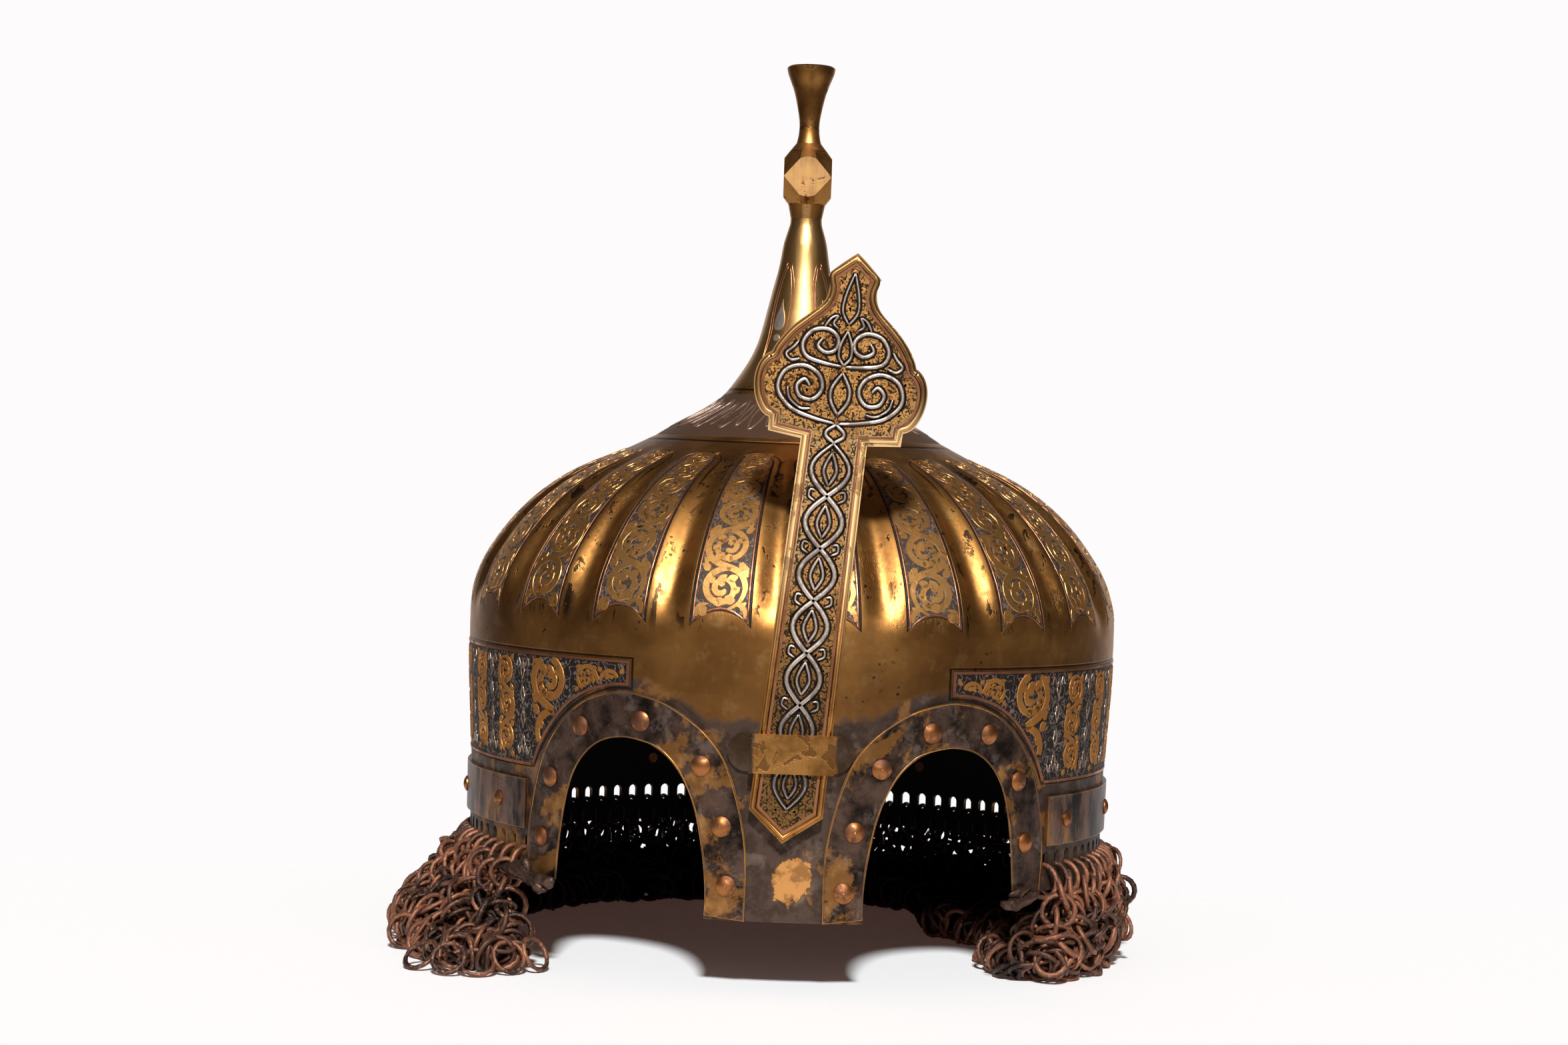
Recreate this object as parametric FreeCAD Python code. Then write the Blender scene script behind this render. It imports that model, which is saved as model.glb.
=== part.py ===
import FreeCAD, Part
import math
import os

# Kulah khud: a fluted brass helmet bowl drawn up into a neck and finial, with riveted eye plates,
# a sliding nasal bar in a bracket, a riveted rim strap, and a mail curtain hung in rings from slots.
# Millimetres. Z is up, the floor is at zero, the bowl's axis is the Z axis, the front faces -Y.

V = FreeCAD.Vector
full_turn = 360.0
quarter_turn = 90.0
overrun = 10.0

# Bowl
skull_radius = 112.0
neck_top_z = 252.8
wall = 1.6
nose_bottom_z = 22.8
rim_bottom_z = 30.4
flute_count = 20
flute_depth = 3.0
flute_width_share = 0.47
flute_first_share = 1.0 / 3.0
spigot_radius = 2.6
spigot_length = 11.0
neck_rows_closed = 5

# Outline of the bowl from the nose to the neck top: shares of skull_radius and of neck_top_z
lower_wall_shares = [(0.979, 0.0902), (0.980, 0.170), (0.982, 0.241), (0.986, 0.281), (0.998, 0.374),
                     (1.0, 0.431)]
dome_shares = [(1.0, 0.431), (1.0, 0.447), (0.9985, 0.466), (0.991, 0.4846), (0.979, 0.5024),
               (0.961, 0.5214), (0.9375, 0.5396), (0.910, 0.5578), (0.8775, 0.5763), (0.839, 0.5949),
               (0.7945, 0.6131), (0.739, 0.6317), (0.667, 0.6503), (0.5735, 0.6685), (0.5035, 0.6824),
               (0.4425, 0.6962)]
neck_shares = [(0.4425, 0.6962), (0.3365, 0.7239), (0.2348, 0.7555), (0.1946, 0.7793), (0.1482, 0.8149),
               (0.1268, 0.8426), (0.1071, 0.8782), (0.0884, 0.9138), (0.0755, 0.9415), (0.0670, 0.9652),
               (0.0571, 0.9810), (0.0500, 0.9913), (0.0482, 1.0)]
# How deep the flutes are at each dome row, as shares of flute_depth
flute_fade_shares = [0.0, 0.05, 0.25, 0.55, 0.85, 1.0, 1.0, 1.0, 1.0, 0.95, 0.88, 0.75, 0.55, 0.25, 0.05,
                     0.0]
points_per_flute = 12

# Eye openings and eye plates: x and z of the right side, mirrored on the left
eye_inner_x = 25.3
eye_outer_x = 74.2
eye_top_z = 78.9
eye_arch_shares = [(0.0, 0.0), (0.008, 0.27), (0.035, 0.43), (0.084, 0.62), (0.178, 0.806), (0.27, 0.905),
                   (0.372, 0.966), (0.577, 1.0), (0.72, 0.966), (0.832, 0.877), (0.906, 0.752),
                   (0.943, 0.627), (0.971, 0.467), (0.988, 0.307), (1.0, 0.134)]
plate_inner_x = 12.4
plate_outer_x = 84.5
plate_top_z = 93.7
plate_thickness = 1.0
plate_arch_shares = [(0.0, 0.0), (-0.002, 0.144), (0.003, 0.327), (0.037, 0.511), (0.087, 0.673),
                     (0.135, 0.762), (0.222, 0.857), (0.362, 0.951), (0.477, 0.989), (0.567, 1.0),
                     (0.688, 0.976), (0.785, 0.92), (0.868, 0.82), (0.929, 0.704), (0.968, 0.561),
                     (0.993, 0.40), (1.0, 0.30), (0.999, 0.217), (0.993, 0.107)]

# Rivets: angle from the front in degrees and height above the floor in shares of plate_top_z
rivet_head_radius = 3.25
rivet_head_height = 1.7
rivet_head_edge = 0.5
rivet_shank_radius = 1.45
rivet_shank_clearance = 0.05
rivet_seat_gap = 0.04
rivet_peen_radius = 2.3
rivet_peen_height = 0.7
left_rivet_shares = [(-9.6, 0.362), (-10.7, 0.562), (-14.4, 0.765), (-25.0, 0.903), (-36.9, 0.869),
                     (-43.9, 0.679), (-46.0, 0.466)]
right_rivet_shares = [(9.8, 0.349), (11.3, 0.557), (15.4, 0.773), (23.9, 0.897), (34.9, 0.890),
                      (42.2, 0.722), (44.7, 0.505)]

# Strap round the rim
strap_bottom_z = 45.3
strap_top_z = 61.6
strap_thickness = 1.3
strap_start_angle = 50.7
strap_rivet_radius = 2.6
strap_rivet_share = 0.5
strap_rivet_angles = [56.8, 80.0, 104.0, 128.0, 152.0, 180.0, 208.0, 232.0, 256.0, 278.0, 300.6]

# Slots in the lip, and the ring that hangs in each
slot_width = 3.4
slot_bottom_z = 37.7
slot_top_z = 43.4
ring_pitch_angle = 3.55
ring_first_angle = 51.5
ring_wire = 1.6
ring_bore = 9.2
ring_rest_gap = 0.3

# Copper wire round the side bands
wire_proud = 0.25
band_wire_width = 0.9
band_top_z = 103.6
band_bottom_z = 67.0
band_front_x = 51.8
band_plate_gap = 1.8
band_corner_angle = 49.6

# Nasal bar: its own frame starts at the lower tip and leans with the bar
nasal_lean = 5.35
nasal_tip_x = -1.2
nasal_tip_z = 48.6
nasal_thickness = 2.4
nasal_back_gap = 0.5
nasal_width_low = 23.5
nasal_width_high = 21.0
nasal_point_height = 9.5
nasal_stem_length = 127.5
nasal_head_width = 54.7
nasal_head_height = 59.8
head_step_shares = [(0.768, 0.02), (0.775, 0.09)]
head_lobe_shares = [(0.775, 0.09), (0.87, 0.115), (0.965, 0.19), (1.0, 0.285), (0.965, 0.37),
                    (0.875, 0.425), (0.835, 0.435)]
head_ogee_shares = [(0.835, 0.435), (0.80, 0.475), (0.66, 0.57), (0.47, 0.655), (0.32, 0.725),
                    (0.275, 0.79), (0.305, 0.875)]
head_flank_shares = [(0.305, 0.875), (0.17, 0.935), (0.0, 1.0)]
nasal_wire_inset = 2.4
nasal_wire_width = 0.7
nasal_wire_proud = 0.15

# Bracket that the nasal bar slides in
bracket_bottom_z = 70.7
bracket_top_z = 83.2
bracket_width = 40.0
bracket_centre_x = 0.6
bracket_sheet = 1.3
slide_side_gap = 0.4
slide_front_gap = 0.45

# Silver drops let into the neck
drop_count = 5
drop_first_angle = -37.0
drop_proud = 0.2
drop_bottom_z = 213.5
drop_height = 10.8
drop_width = 4.0
drop_share_points = [(0.0, 0.0), (0.38, 0.05), (0.5, 0.2), (0.34, 0.55), (0.0, 1.0)]
dot_radius = 1.2
dot_gap = 1.4

# Finial
finial_top_z = 306.0
finial_neck_radius = 5.4
knob_bottom_z = 257.6
knob_top_z = 276.4
knob_side = 16.6
knob_end_radius = 6.4
knob_band_share = 0.25
knob_cut_spread = 4.0
knob_cap_height = 2.6
trumpet_bore_radius = 6.3
trumpet_bore_depth = 5.0
trumpet_lip_crown = 0.3
# Outline of the trumpet above the knob: shares of trumpet_radius and of its height
trumpet_radius = 8.4
trumpet_shares = [(0.512, 0.0), (0.43, 0.12), (0.415, 0.25), (0.50, 0.43), (0.62, 0.60), (0.80, 0.77),
                  (0.96, 0.90), (1.0, 0.965)]

# Mail curtain heaped on the floor from cheek to cheek round the back. Each station has its angle
# from the front in degrees, then shares of mail_reach: floor inside, floor outside, shoulder radius,
# and shares of mail_top_z: shoulder height, height of the inner roll.
mail_reach = 150.0
mail_top_z = 26.9
mail_neck_width = 9.0
mail_foot_cut = 0.5
mail_inner_lean_share = 0.35
mail_roll_share = 0.2
mail_bulge_share = 0.045
mail_station_shares = [(46.0, 0.72, 0.86, 0.79, 0.92, 0.62), (58.0, 0.64, 0.905, 0.83, 1.20, 0.66),
                       (74.0, 0.58, 0.88, 0.81, 1.16, 0.60), (92.0, 0.52, 0.84, 0.80, 1.08, 0.52),
                       (110.0, 0.46, 0.85, 0.80, 1.12, 0.48), (128.0, 0.50, 0.88, 0.81, 1.05, 0.50),
                       (148.0, 0.60, 0.86, 0.80, 1.12, 0.58), (168.0, 0.64, 0.89, 0.81, 1.06, 0.60),
                       (188.0, 0.62, 0.86, 0.80, 1.14, 0.56), (208.0, 0.65, 0.88, 0.81, 1.05, 0.60),
                       (228.0, 0.66, 0.90, 0.82, 1.16, 0.60), (246.0, 0.65, 0.91, 0.82, 1.24, 0.62),
                       (264.0, 0.67, 0.93, 0.83, 1.36, 0.62), (282.0, 0.66, 0.94, 0.84, 1.38, 0.66),
                       (298.0, 0.68, 0.985, 0.84, 1.18, 0.66), (308.0, 0.70, 1.0, 0.84, 1.05, 0.66),
                       (315.0, 0.72, 0.92, 0.80, 0.92, 0.62)]


def polar(radius, angle, height):
    """A point at this radius and height, with the angle counted from the front towards +X."""
    turn = math.radians(angle)
    return V(radius * math.sin(turn), -radius * math.cos(turn), height)


def placed(shares, width, height, base_x=0.0, base_z=0.0):
    """Outline points in the front plane from shares of a width and a height."""
    return [V(base_x + width * across, 0.0, base_z + height * along) for across, along in shares]


def mirrored(points):
    return [V(-p.x, p.y, p.z) for p in points]


def curve_through(points):
    curve = Part.BSplineCurve()
    curve.interpolate(points)
    return curve.toShape()


def polyline(points):
    return [Part.makeLine(a, b) for a, b in zip(points, points[1:])]


def moved_sideways(points, amount, closed=False):
    """Outline points in the front plane moved to the left of their direction of travel."""
    moved = []
    last = len(points) - 1
    for index, point in enumerate(points):
        before = points[index - 1] if index > 0 or closed else None
        after = points[(index + 1) % len(points)] if index < last or closed else None
        runs = []
        if before is not None:
            runs.append(point.sub(before).normalize())
        if after is not None:
            runs.append(after.sub(point).normalize())
        sides = [V(-run.z, 0, run.x) for run in runs]
        first, second = sides[0], sides[-1]
        moved.append(point + (first + second) * (amount / (1 + first.dot(second))))
    return moved


def face_of(edges):
    return Part.Face(Part.Wire(Part.__sortEdges__(edges)))


def turned(shape, angle):
    """A copy of a shape drawn in the XZ half plane, turned to an angle from the front."""
    copy = shape.copy()
    copy.rotate(V(0, 0, 0), V(0, 0, 1), angle - quarter_turn)
    return copy


def ring_solid(points, start_angle=0.0, sweep=full_turn):
    """A closed outline of radius and height points, revolved from one angle through a sweep."""
    outline = Part.Face(Part.makePolygon(points + points[:1]))
    return turned(outline, start_angle).revolve(V(0, 0, 0), V(0, 0, 1), sweep)


def front_prism(face):
    """An outline in the front plane, carried straight out through the front of the bowl."""
    return face.extrude(V(0, -(skull_radius + overrun), 0))


# The bowl's outline as real points of radius and height
lower_rows = [V(skull_radius * r, 0, neck_top_z * z) for r, z in lower_wall_shares]
dome_rows = [V(skull_radius * r, 0, neck_top_z * z) for r, z in dome_shares]
neck_rows = [V(skull_radius * r, 0, neck_top_z * z) for r, z in neck_shares]
shoulder_z = lower_rows[-1].z


def wall_radius(height):
    """Outside radius of the lower wall at a height."""
    for low, high in zip(lower_rows, lower_rows[1:]):
        if height <= high.z:
            break
    share = (height - low.z) / (high.z - low.z)
    return low.x + share * (high.x - low.x)


def wall_tilt(height):
    """How far the lower wall's outward normal points down at a height, in degrees."""
    for low, high in zip(lower_rows, lower_rows[1:]):
        if height <= high.z:
            break
    return math.degrees(math.atan2(high.x - low.x, high.z - low.z))


def wall_skin(low_z, high_z, lift, thickness, start_angle=0.0, sweep=full_turn):
    """A sheet that lies on the lower wall, lifted off it and between two heights."""
    middle = [row for row in lower_rows if low_z < row.z < high_z]
    rows = [V(wall_radius(low_z), 0, low_z)] + middle + [V(wall_radius(high_z), 0, high_z)]
    inside = [V(row.x + lift, 0, row.z) for row in rows]
    outside = [V(row.x + lift + thickness, 0, row.z) for row in rows]
    return ring_solid(inside + outside[::-1], start_angle, sweep)


def row_normals(rows):
    """Outward normal of the outline at each of its rows."""
    normals = []
    for index in range(len(rows)):
        before = rows[max(index - 1, 0)]
        after = rows[min(index + 1, len(rows) - 1)]
        run = after.sub(before)
        normals.append(V(run.z, 0, -run.x).normalize())
    return normals


def flute_drop(share):
    """How far a flute sinks, from the share of one pitch counted from the middle of a panel."""
    from_flute = abs(share - round(share - 0.5) - 0.5)
    half_width = flute_width_share / 2
    if from_flute >= half_width:
        return 0.0
    return 0.5 + 0.5 * math.cos(math.pi * from_flute / half_width)


def dome_solid(depth):
    """The fluted dome between the shoulder and the neck, moved inwards by a depth."""
    normals = row_normals(dome_rows)
    around = flute_count * points_per_flute
    first_angle = full_turn / flute_count * flute_first_share
    wires = []
    for row, normal, fade in zip(dome_rows, normals, flute_fade_shares):
        points = []
        for step in range(around):
            flute = flute_depth * fade * row.x / skull_radius
            sink = depth + flute * flute_drop(step / points_per_flute)
            spot = row.sub(normal * sink)
            points.append(polar(spot.x, first_angle + full_turn * step / around, spot.z))
        curve = Part.BSplineCurve()
        curve.interpolate(Points=points, PeriodicFlag=True)
        wires.append(Part.Wire(curve.toShape()))
    return Part.makeLoft(wires, True, False)


def spun_solid(edges):
    """A solid turned from an outline that starts and ends on the axis."""
    return face_of(edges).revolve(V(0, 0, 0), V(0, 0, 1), full_turn)


def on_axis(point):
    return V(0, 0, point.z)


def stacked(lower, dome, neck):
    """The lower wall, the dome and the neck as one solid. Lower and neck are open outlines."""
    bottom = spun_solid(polyline([on_axis(lower[0])] + lower + [on_axis(lower[-1]), on_axis(lower[0])]))
    ends = polyline([neck[-1], on_axis(neck[-1]), on_axis(neck[0]), neck[0]])
    top = spun_solid([curve_through(neck)] + ends)
    return bottom.fuse([dome, top])


def bowl_outside():
    return stacked(lower_rows, dome_solid(0.0), neck_rows)


def bowl_inside():
    below = V(lower_rows[0].x - wall, 0, lower_rows[0].z - overrun)
    lower = [below] + [V(row.x - wall, 0, row.z) for row in lower_rows]
    dome_end = dome_rows[-1].sub(row_normals(dome_rows)[-1] * wall)
    kept = len(neck_rows) - neck_rows_closed
    inner = [row.sub(normal * wall) for row, normal in zip(neck_rows, row_normals(neck_rows))]
    return stacked(lower, dome_solid(wall), [dome_end] + inner[1:kept])


def eye_outline(side):
    """The face of one eye opening, run down below the nose. side is 1 on the right, -1 on the left."""
    points = placed(eye_arch_shares, eye_outer_x - eye_inner_x, eye_top_z - nose_bottom_z,
                    eye_inner_x, nose_bottom_z)
    floor_z = nose_bottom_z - overrun
    feet = [V(points[-1].x, 0, floor_z), V(points[0].x, 0, floor_z)]
    points = points if side > 0 else mirrored(points)
    feet = feet if side > 0 else mirrored(feet)
    edges = [curve_through(points)] + polyline([points[-1]] + feet + [points[0]])
    return face_of(edges)


def plate_outline(side, grow=0.0):
    """The face of one eye plate without its opening, grown outwards by an amount."""
    points = placed(plate_arch_shares, plate_outer_x - plate_inner_x, plate_top_z - nose_bottom_z,
                    plate_inner_x, nose_bottom_z)
    points = moved_sideways(points, grow)
    points = points if side > 0 else mirrored(points)
    return face_of([curve_through(points), Part.makeLine(points[-1], points[0])])


def lower_trim():
    """What is cut off below the rim, with the nose left standing."""
    reach = skull_radius + overrun
    slab = Part.makeCylinder(reach, rim_bottom_z, V(0, 0, 0))
    nose = Part.makeBox(eye_outer_x, reach, rim_bottom_z, V(-eye_outer_x / 2, -reach, 0))
    return slab.cut(nose)


def slot_tool(angle):
    """A round-ended cutter that runs out through the wall at one ring's place."""
    radius = slot_width / 2
    low = slot_bottom_z + radius
    high = slot_top_z - radius
    left = V(0, -radius, low)
    right = V(0, radius, low)
    left_top = V(0, -radius, high)
    right_top = V(0, radius, high)
    foot = Part.Arc(left, V(0, 0, slot_bottom_z), right).toShape()
    crown = Part.Arc(right_top, V(0, 0, slot_top_z), left_top).toShape()
    face = face_of([foot, Part.makeLine(right, right_top), crown, Part.makeLine(left_top, left)])
    face.translate(V(wall_radius(slot_bottom_z) - overrun, 0, 0))
    return turned(face.extrude(V(2 * overrun, 0, 0)), angle)


def ring_angles():
    count = int((full_turn - 2 * ring_first_angle) / ring_pitch_angle) + 1
    spread = (full_turn - 2 * ring_first_angle) / (count - 1)
    return [ring_first_angle + spread * index for index in range(count)]


def out_along(shape, angle, radius, height):
    """A shape drawn along +Z from the origin, set on the lower wall so that it points out of it."""
    copy = shape.copy()
    copy.rotate(V(0, 0, 0), V(0, 1, 0), quarter_turn + wall_tilt(height))
    copy.translate(V(radius, 0, height))
    return turned(copy, angle)


def rivet(angle, height, seat, sheet, head_radius):
    """A round-headed rivet through a plate and the bowl's wall, spread over inside."""
    grip = sheet + wall + 2 * rivet_seat_gap
    scale = head_radius / rivet_head_radius
    shank = rivet_shank_radius * scale
    peen = rivet_peen_radius * scale
    top = rivet_head_height * scale
    edge = rivet_head_edge * scale
    crown = top - edge
    ball = (head_radius * head_radius + crown * crown) / (2 * crown)
    half = math.asin(head_radius / ball) / 2
    mid = V(ball * math.sin(half), 0, top - ball + ball * math.cos(half))
    foot = -(grip + rivet_peen_height)
    line = polyline([V(0, 0, top), V(0, 0, foot), V(peen, 0, foot), V(peen, 0, -grip), V(shank, 0, -grip),
                     V(shank, 0, 0), V(head_radius, 0, 0), V(head_radius, 0, edge)])
    dome = Part.Arc(V(head_radius, 0, edge), mid, V(0, 0, top)).toShape()
    body = face_of(line + [dome]).revolve(V(0, 0, 0), V(0, 0, 1), full_turn)
    return out_along(body, angle, seat + rivet_seat_gap, height)


def rivet_hole(angle, height, seat, head_radius):
    radius = rivet_shank_radius * head_radius / rivet_head_radius + rivet_shank_clearance
    hole = Part.makeCylinder(radius, 2 * overrun, V(0, 0, -overrun))
    return out_along(hole, angle, seat, height)


# Where each rivet stands: angle, height, radius of its seat, sheet under its head, head radius
def plate_rivet_places(shares):
    places = []
    for angle, share in shares:
        height = plate_top_z * share
        seat = wall_radius(height) + plate_thickness
        places.append((angle, height, seat, plate_thickness, rivet_head_radius))
    return places


def strap_rivet_places():
    height = strap_bottom_z + (strap_top_z - strap_bottom_z) * strap_rivet_share
    seat = wall_radius(height) + strap_thickness
    return [(angle, height, seat, strap_thickness, strap_rivet_radius)
            for angle in strap_rivet_angles]


left_rivets = plate_rivet_places(left_rivet_shares)
right_rivets = plate_rivet_places(right_rivet_shares)
strap_rivets = strap_rivet_places()


def holes_for(places):
    return [rivet_hole(angle, height, seat, head) for angle, height, seat, sheet, head in places]


def rivets_for(places):
    return Part.Compound([rivet(*place) for place in places])


def skull():
    bowl = bowl_outside().cut(bowl_inside())
    bore_foot = V(0, 0, neck_top_z - spigot_length)
    spigot_bore = Part.makeCylinder(spigot_radius, spigot_length + overrun, bore_foot)
    eyes = [front_prism(eye_outline(1)), front_prism(eye_outline(-1))]
    bowl = bowl.cut(eyes + [lower_trim(), spigot_bore])
    small = [slot_tool(angle) for angle in ring_angles()]
    small += holes_for(left_rivets) + holes_for(right_rivets) + holes_for(strap_rivets)
    return bowl.cut(small).Solids[0]


def eye_plate(side, places):
    sheet = wall_skin(nose_bottom_z, shoulder_z, 0.0, plate_thickness)
    plate = sheet.common(front_prism(plate_outline(side)))
    return plate.cut([front_prism(eye_outline(side)), lower_trim()] + holes_for(places)).Solids[0]


def rim_strap():
    sweep = full_turn - 2 * strap_start_angle
    strap = wall_skin(strap_bottom_z, strap_top_z, 0.0, strap_thickness, strap_start_angle, sweep)
    return strap.cut(holes_for(strap_rivets)).Solids[0]


def hanging_rings():
    """The rings that pass through the slots and round the lip."""
    centre_z = slot_bottom_z + ring_rest_gap - ring_bore / 2
    path_radius = (ring_bore + ring_wire) / 2
    ring = Part.makeTorus(path_radius, ring_wire / 2, V(0, 0, 0), V(0, 1, 0))
    ring.translate(V(wall_radius(slot_bottom_z) - wall / 2, 0, centre_z))
    return Part.Compound([turned(ring, angle) for angle in ring_angles()])


def band_wire():
    """Copper wire along the edges of the side bands, which run round the back of the bowl."""
    front_angle = math.degrees(math.asin(band_front_x / skull_radius))
    sweep = full_turn - 2 * front_angle
    low_sweep = full_turn - 2 * band_corner_angle
    reach = skull_radius + overrun
    skin = wall_skin(nose_bottom_z + overrun, shoulder_z, 0.0, wire_proud)
    top = wall_skin(band_top_z - band_wire_width, band_top_z, 0.0, wire_proud, front_angle, sweep)
    pieces = [wall_skin(band_bottom_z - band_wire_width, band_bottom_z, 0.0, wire_proud,
                        band_corner_angle, low_sweep)]
    for side in (1, -1):
        inside = plate_outline(side, band_plate_gap)
        ribbon = plate_outline(side, band_plate_gap + band_wire_width).cut(inside)
        low_x = band_front_x if side > 0 else -reach
        window = Part.makeBox(reach - band_front_x, reach, band_top_z - band_bottom_z,
                              V(low_x, -reach, band_bottom_z))
        pieces.append(skin.common(front_prism(ribbon)).common(window))
        post_x = band_front_x if side > 0 else -(band_front_x + band_wire_width)
        post = Part.makeBox(band_wire_width, reach, band_top_z - eye_top_z, V(post_x, -reach, eye_top_z))
        pieces.append(skin.common(post).cut(front_prism(inside)))
    return Part.Compound(top.fuse(pieces).removeSplitter().Solids)


nasal_back_y = -(skull_radius + nasal_back_gap)
nasal_front_y = nasal_back_y - nasal_thickness


def leaned(shape):
    """A shape drawn upright on the bar's own frame, leaned over and set at the bar's tip."""
    copy = shape.copy()
    copy.rotate(V(0, 0, 0), V(0, 1, 0), nasal_lean)
    copy.translate(V(nasal_tip_x, 0, nasal_tip_z))
    return copy


def nasal_side():
    """The right edge of the bar and its leaf-shaped head, from the lower tip to the top: its points,
    and how many points each run has. The first run is straight, the others are curves."""
    half_head = nasal_head_width / 2
    stem = [V(0, 0, 0), V(nasal_width_low / 2, 0, nasal_point_height),
            V(nasal_width_high / 2, 0, nasal_stem_length)]
    stem += placed(head_step_shares, half_head, nasal_head_height, 0, nasal_stem_length)
    points = list(stem)
    lengths = [len(stem)]
    for shares in (head_lobe_shares, head_ogee_shares, head_flank_shares):
        run = placed(shares, half_head, nasal_head_height, 0, nasal_stem_length)
        points += run[1:]
        lengths.append(len(run))
    return points, lengths


def nasal_outline(inset=0.0):
    """The face of the bar in its own frame, drawn in from the edge by an amount."""
    right, lengths = nasal_side()
    loop = moved_sideways(right + mirrored(right)[-2:0:-1], inset, True)
    right = loop[:len(right)]
    edges = []
    for points in (right, mirrored(right)):
        first = 0
        for length in lengths:
            run = points[first:first + length]
            edges += polyline(run) if first == 0 else [curve_through(run)]
            first += length - 1
    return face_of(edges)


def nasal_bar():
    plate = nasal_outline().extrude(V(0, -nasal_thickness, 0))
    plate.translate(V(0, nasal_back_y, 0))
    return leaned(plate)


def nasal_wire():
    """Copper wire let into the face of the bar a little way in from its edge."""
    ribbon = nasal_outline(nasal_wire_inset).cut(nasal_outline(nasal_wire_inset + nasal_wire_width))
    wire = ribbon.Faces[0].extrude(V(0, -nasal_wire_proud, 0))
    wire.translate(V(0, nasal_front_y, 0))
    return leaned(wire)


def nasal_bracket():
    """A strap bent over the bar, with a round-ended wing brazed to the bowl on each side."""
    height = bracket_top_z - bracket_bottom_z
    radius = height / 2
    middle_z = bracket_bottom_z + radius
    left = bracket_centre_x - (bracket_width / 2 - radius)
    right = bracket_centre_x + (bracket_width / 2 - radius)
    low_left = V(left, 0, bracket_bottom_z)
    low_right = V(right, 0, bracket_bottom_z)
    high_left = V(left, 0, bracket_top_z)
    high_right = V(right, 0, bracket_top_z)
    outline = [Part.makeLine(low_left, low_right), Part.makeLine(high_right, high_left),
               Part.Arc(low_right, V(right + radius, 0, middle_z), high_right).toShape(),
               Part.Arc(high_left, V(left - radius, 0, middle_z), low_left).toShape()]
    sheet = wall_skin(bracket_bottom_z, bracket_top_z, 0.0, bracket_sheet)
    wings = sheet.common(front_prism(face_of(outline)))
    tunnel = sliding_box(nasal_width_low / 2 + slide_side_gap, slide_front_gap)
    sleeve = sliding_box(nasal_width_low / 2 + slide_side_gap + bracket_sheet,
                         slide_front_gap + bracket_sheet)
    band = ring_solid([V(wall_radius(eye_top_z), 0, bracket_bottom_z),
                       V(skull_radius + overrun, 0, bracket_bottom_z),
                       V(skull_radius + overrun, 0, bracket_top_z),
                       V(wall_radius(bracket_top_z), 0, bracket_top_z)])
    return wings.fuse(sleeve.common(band)).cut(tunnel).Solids[0]


def sliding_box(half_width, front_gap):
    """A box round the nasal bar, leaned with it, from the axis of the bowl out to a gap."""
    depth = front_gap - nasal_front_y
    box = Part.makeBox(2 * half_width, depth, nasal_stem_length, V(-half_width, -depth, 0))
    return leaned(box)


def neck_drops():
    """Silver drops with a dot under each, set round the neck."""
    lift = [V(row.x + drop_proud, 0, row.z) for row in neck_rows]
    ends = [Part.makeLine(neck_rows[0], lift[0]), Part.makeLine(neck_rows[-1], lift[-1])]
    skin = face_of([curve_through(neck_rows), curve_through(lift)] + ends)
    skin = skin.revolve(V(0, 0, 0), V(0, 0, 1), full_turn)
    right = placed(drop_share_points, drop_width, drop_height, 0, drop_bottom_z)
    drop = face_of([curve_through(right), curve_through(mirrored(right))])
    dot_z = drop_bottom_z - dot_gap - dot_radius
    dot = Part.Face(Part.Wire(Part.makeCircle(dot_radius, V(0, 0, dot_z), V(0, 1, 0))))
    inlays = []
    for mark in (drop, dot):
        flat = skin.common(front_prism(mark))
        inlays.append(flat.Solids[0])
    pieces = []
    for index in range(drop_count):
        for inlay in inlays:
            copy = inlay.copy()
            copy.rotate(V(0, 0, 0), V(0, 0, 1), drop_first_angle + index * full_turn / drop_count)
            pieces.append(copy)
    return Part.Compound(pieces)


def knob():
    """A cube with its eight corners cut back to the middles of its edges, under round ends."""
    tall = knob_top_z - knob_bottom_z
    half = knob_side / 2
    middle_z = knob_bottom_z + tall / 2
    band = tall * knob_band_share
    block = Part.makeBox(knob_side, knob_side, tall, V(-half, -half, knob_bottom_z))
    cutters = []
    for across in (1, -1):
        for along in (1, -1):
            for up in (1, -1):
                edge_z = middle_z + up * tall / 2
                corner = V(across * half, along * half, edge_z)
                arms = [V(0, along * half, edge_z), V(across * half, 0, edge_z),
                        V(across * half, along * half, middle_z)]
                cutters.append(corner_cut(arms, corner))
    block = block.cut(cutters)
    round_ends = ring_solid([V(0, 0, knob_bottom_z), V(knob_end_radius, 0, knob_bottom_z),
                             V(knob_side * math.sqrt(2) / 2, 0, middle_z - band / 2),
                             V(knob_side * math.sqrt(2) / 2, 0, middle_z + band / 2),
                             V(knob_end_radius, 0, knob_top_z), V(0, 0, knob_top_z)])
    return block.common(round_ends)


def corner_cut(arms, away):
    """The wedge beyond the plane through three points, on the side of a fourth."""
    face = Part.Face(Part.makePolygon(arms + arms[:1]))
    normal = face.normalAt(0, 0)
    centre = face.CenterOfMass
    if normal.dot(away.sub(centre)) < 0:
        normal = normal * -1
    wide = face.copy()
    wide.scale(knob_cut_spread, centre)
    return wide.extrude(normal * knob_side)


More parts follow.
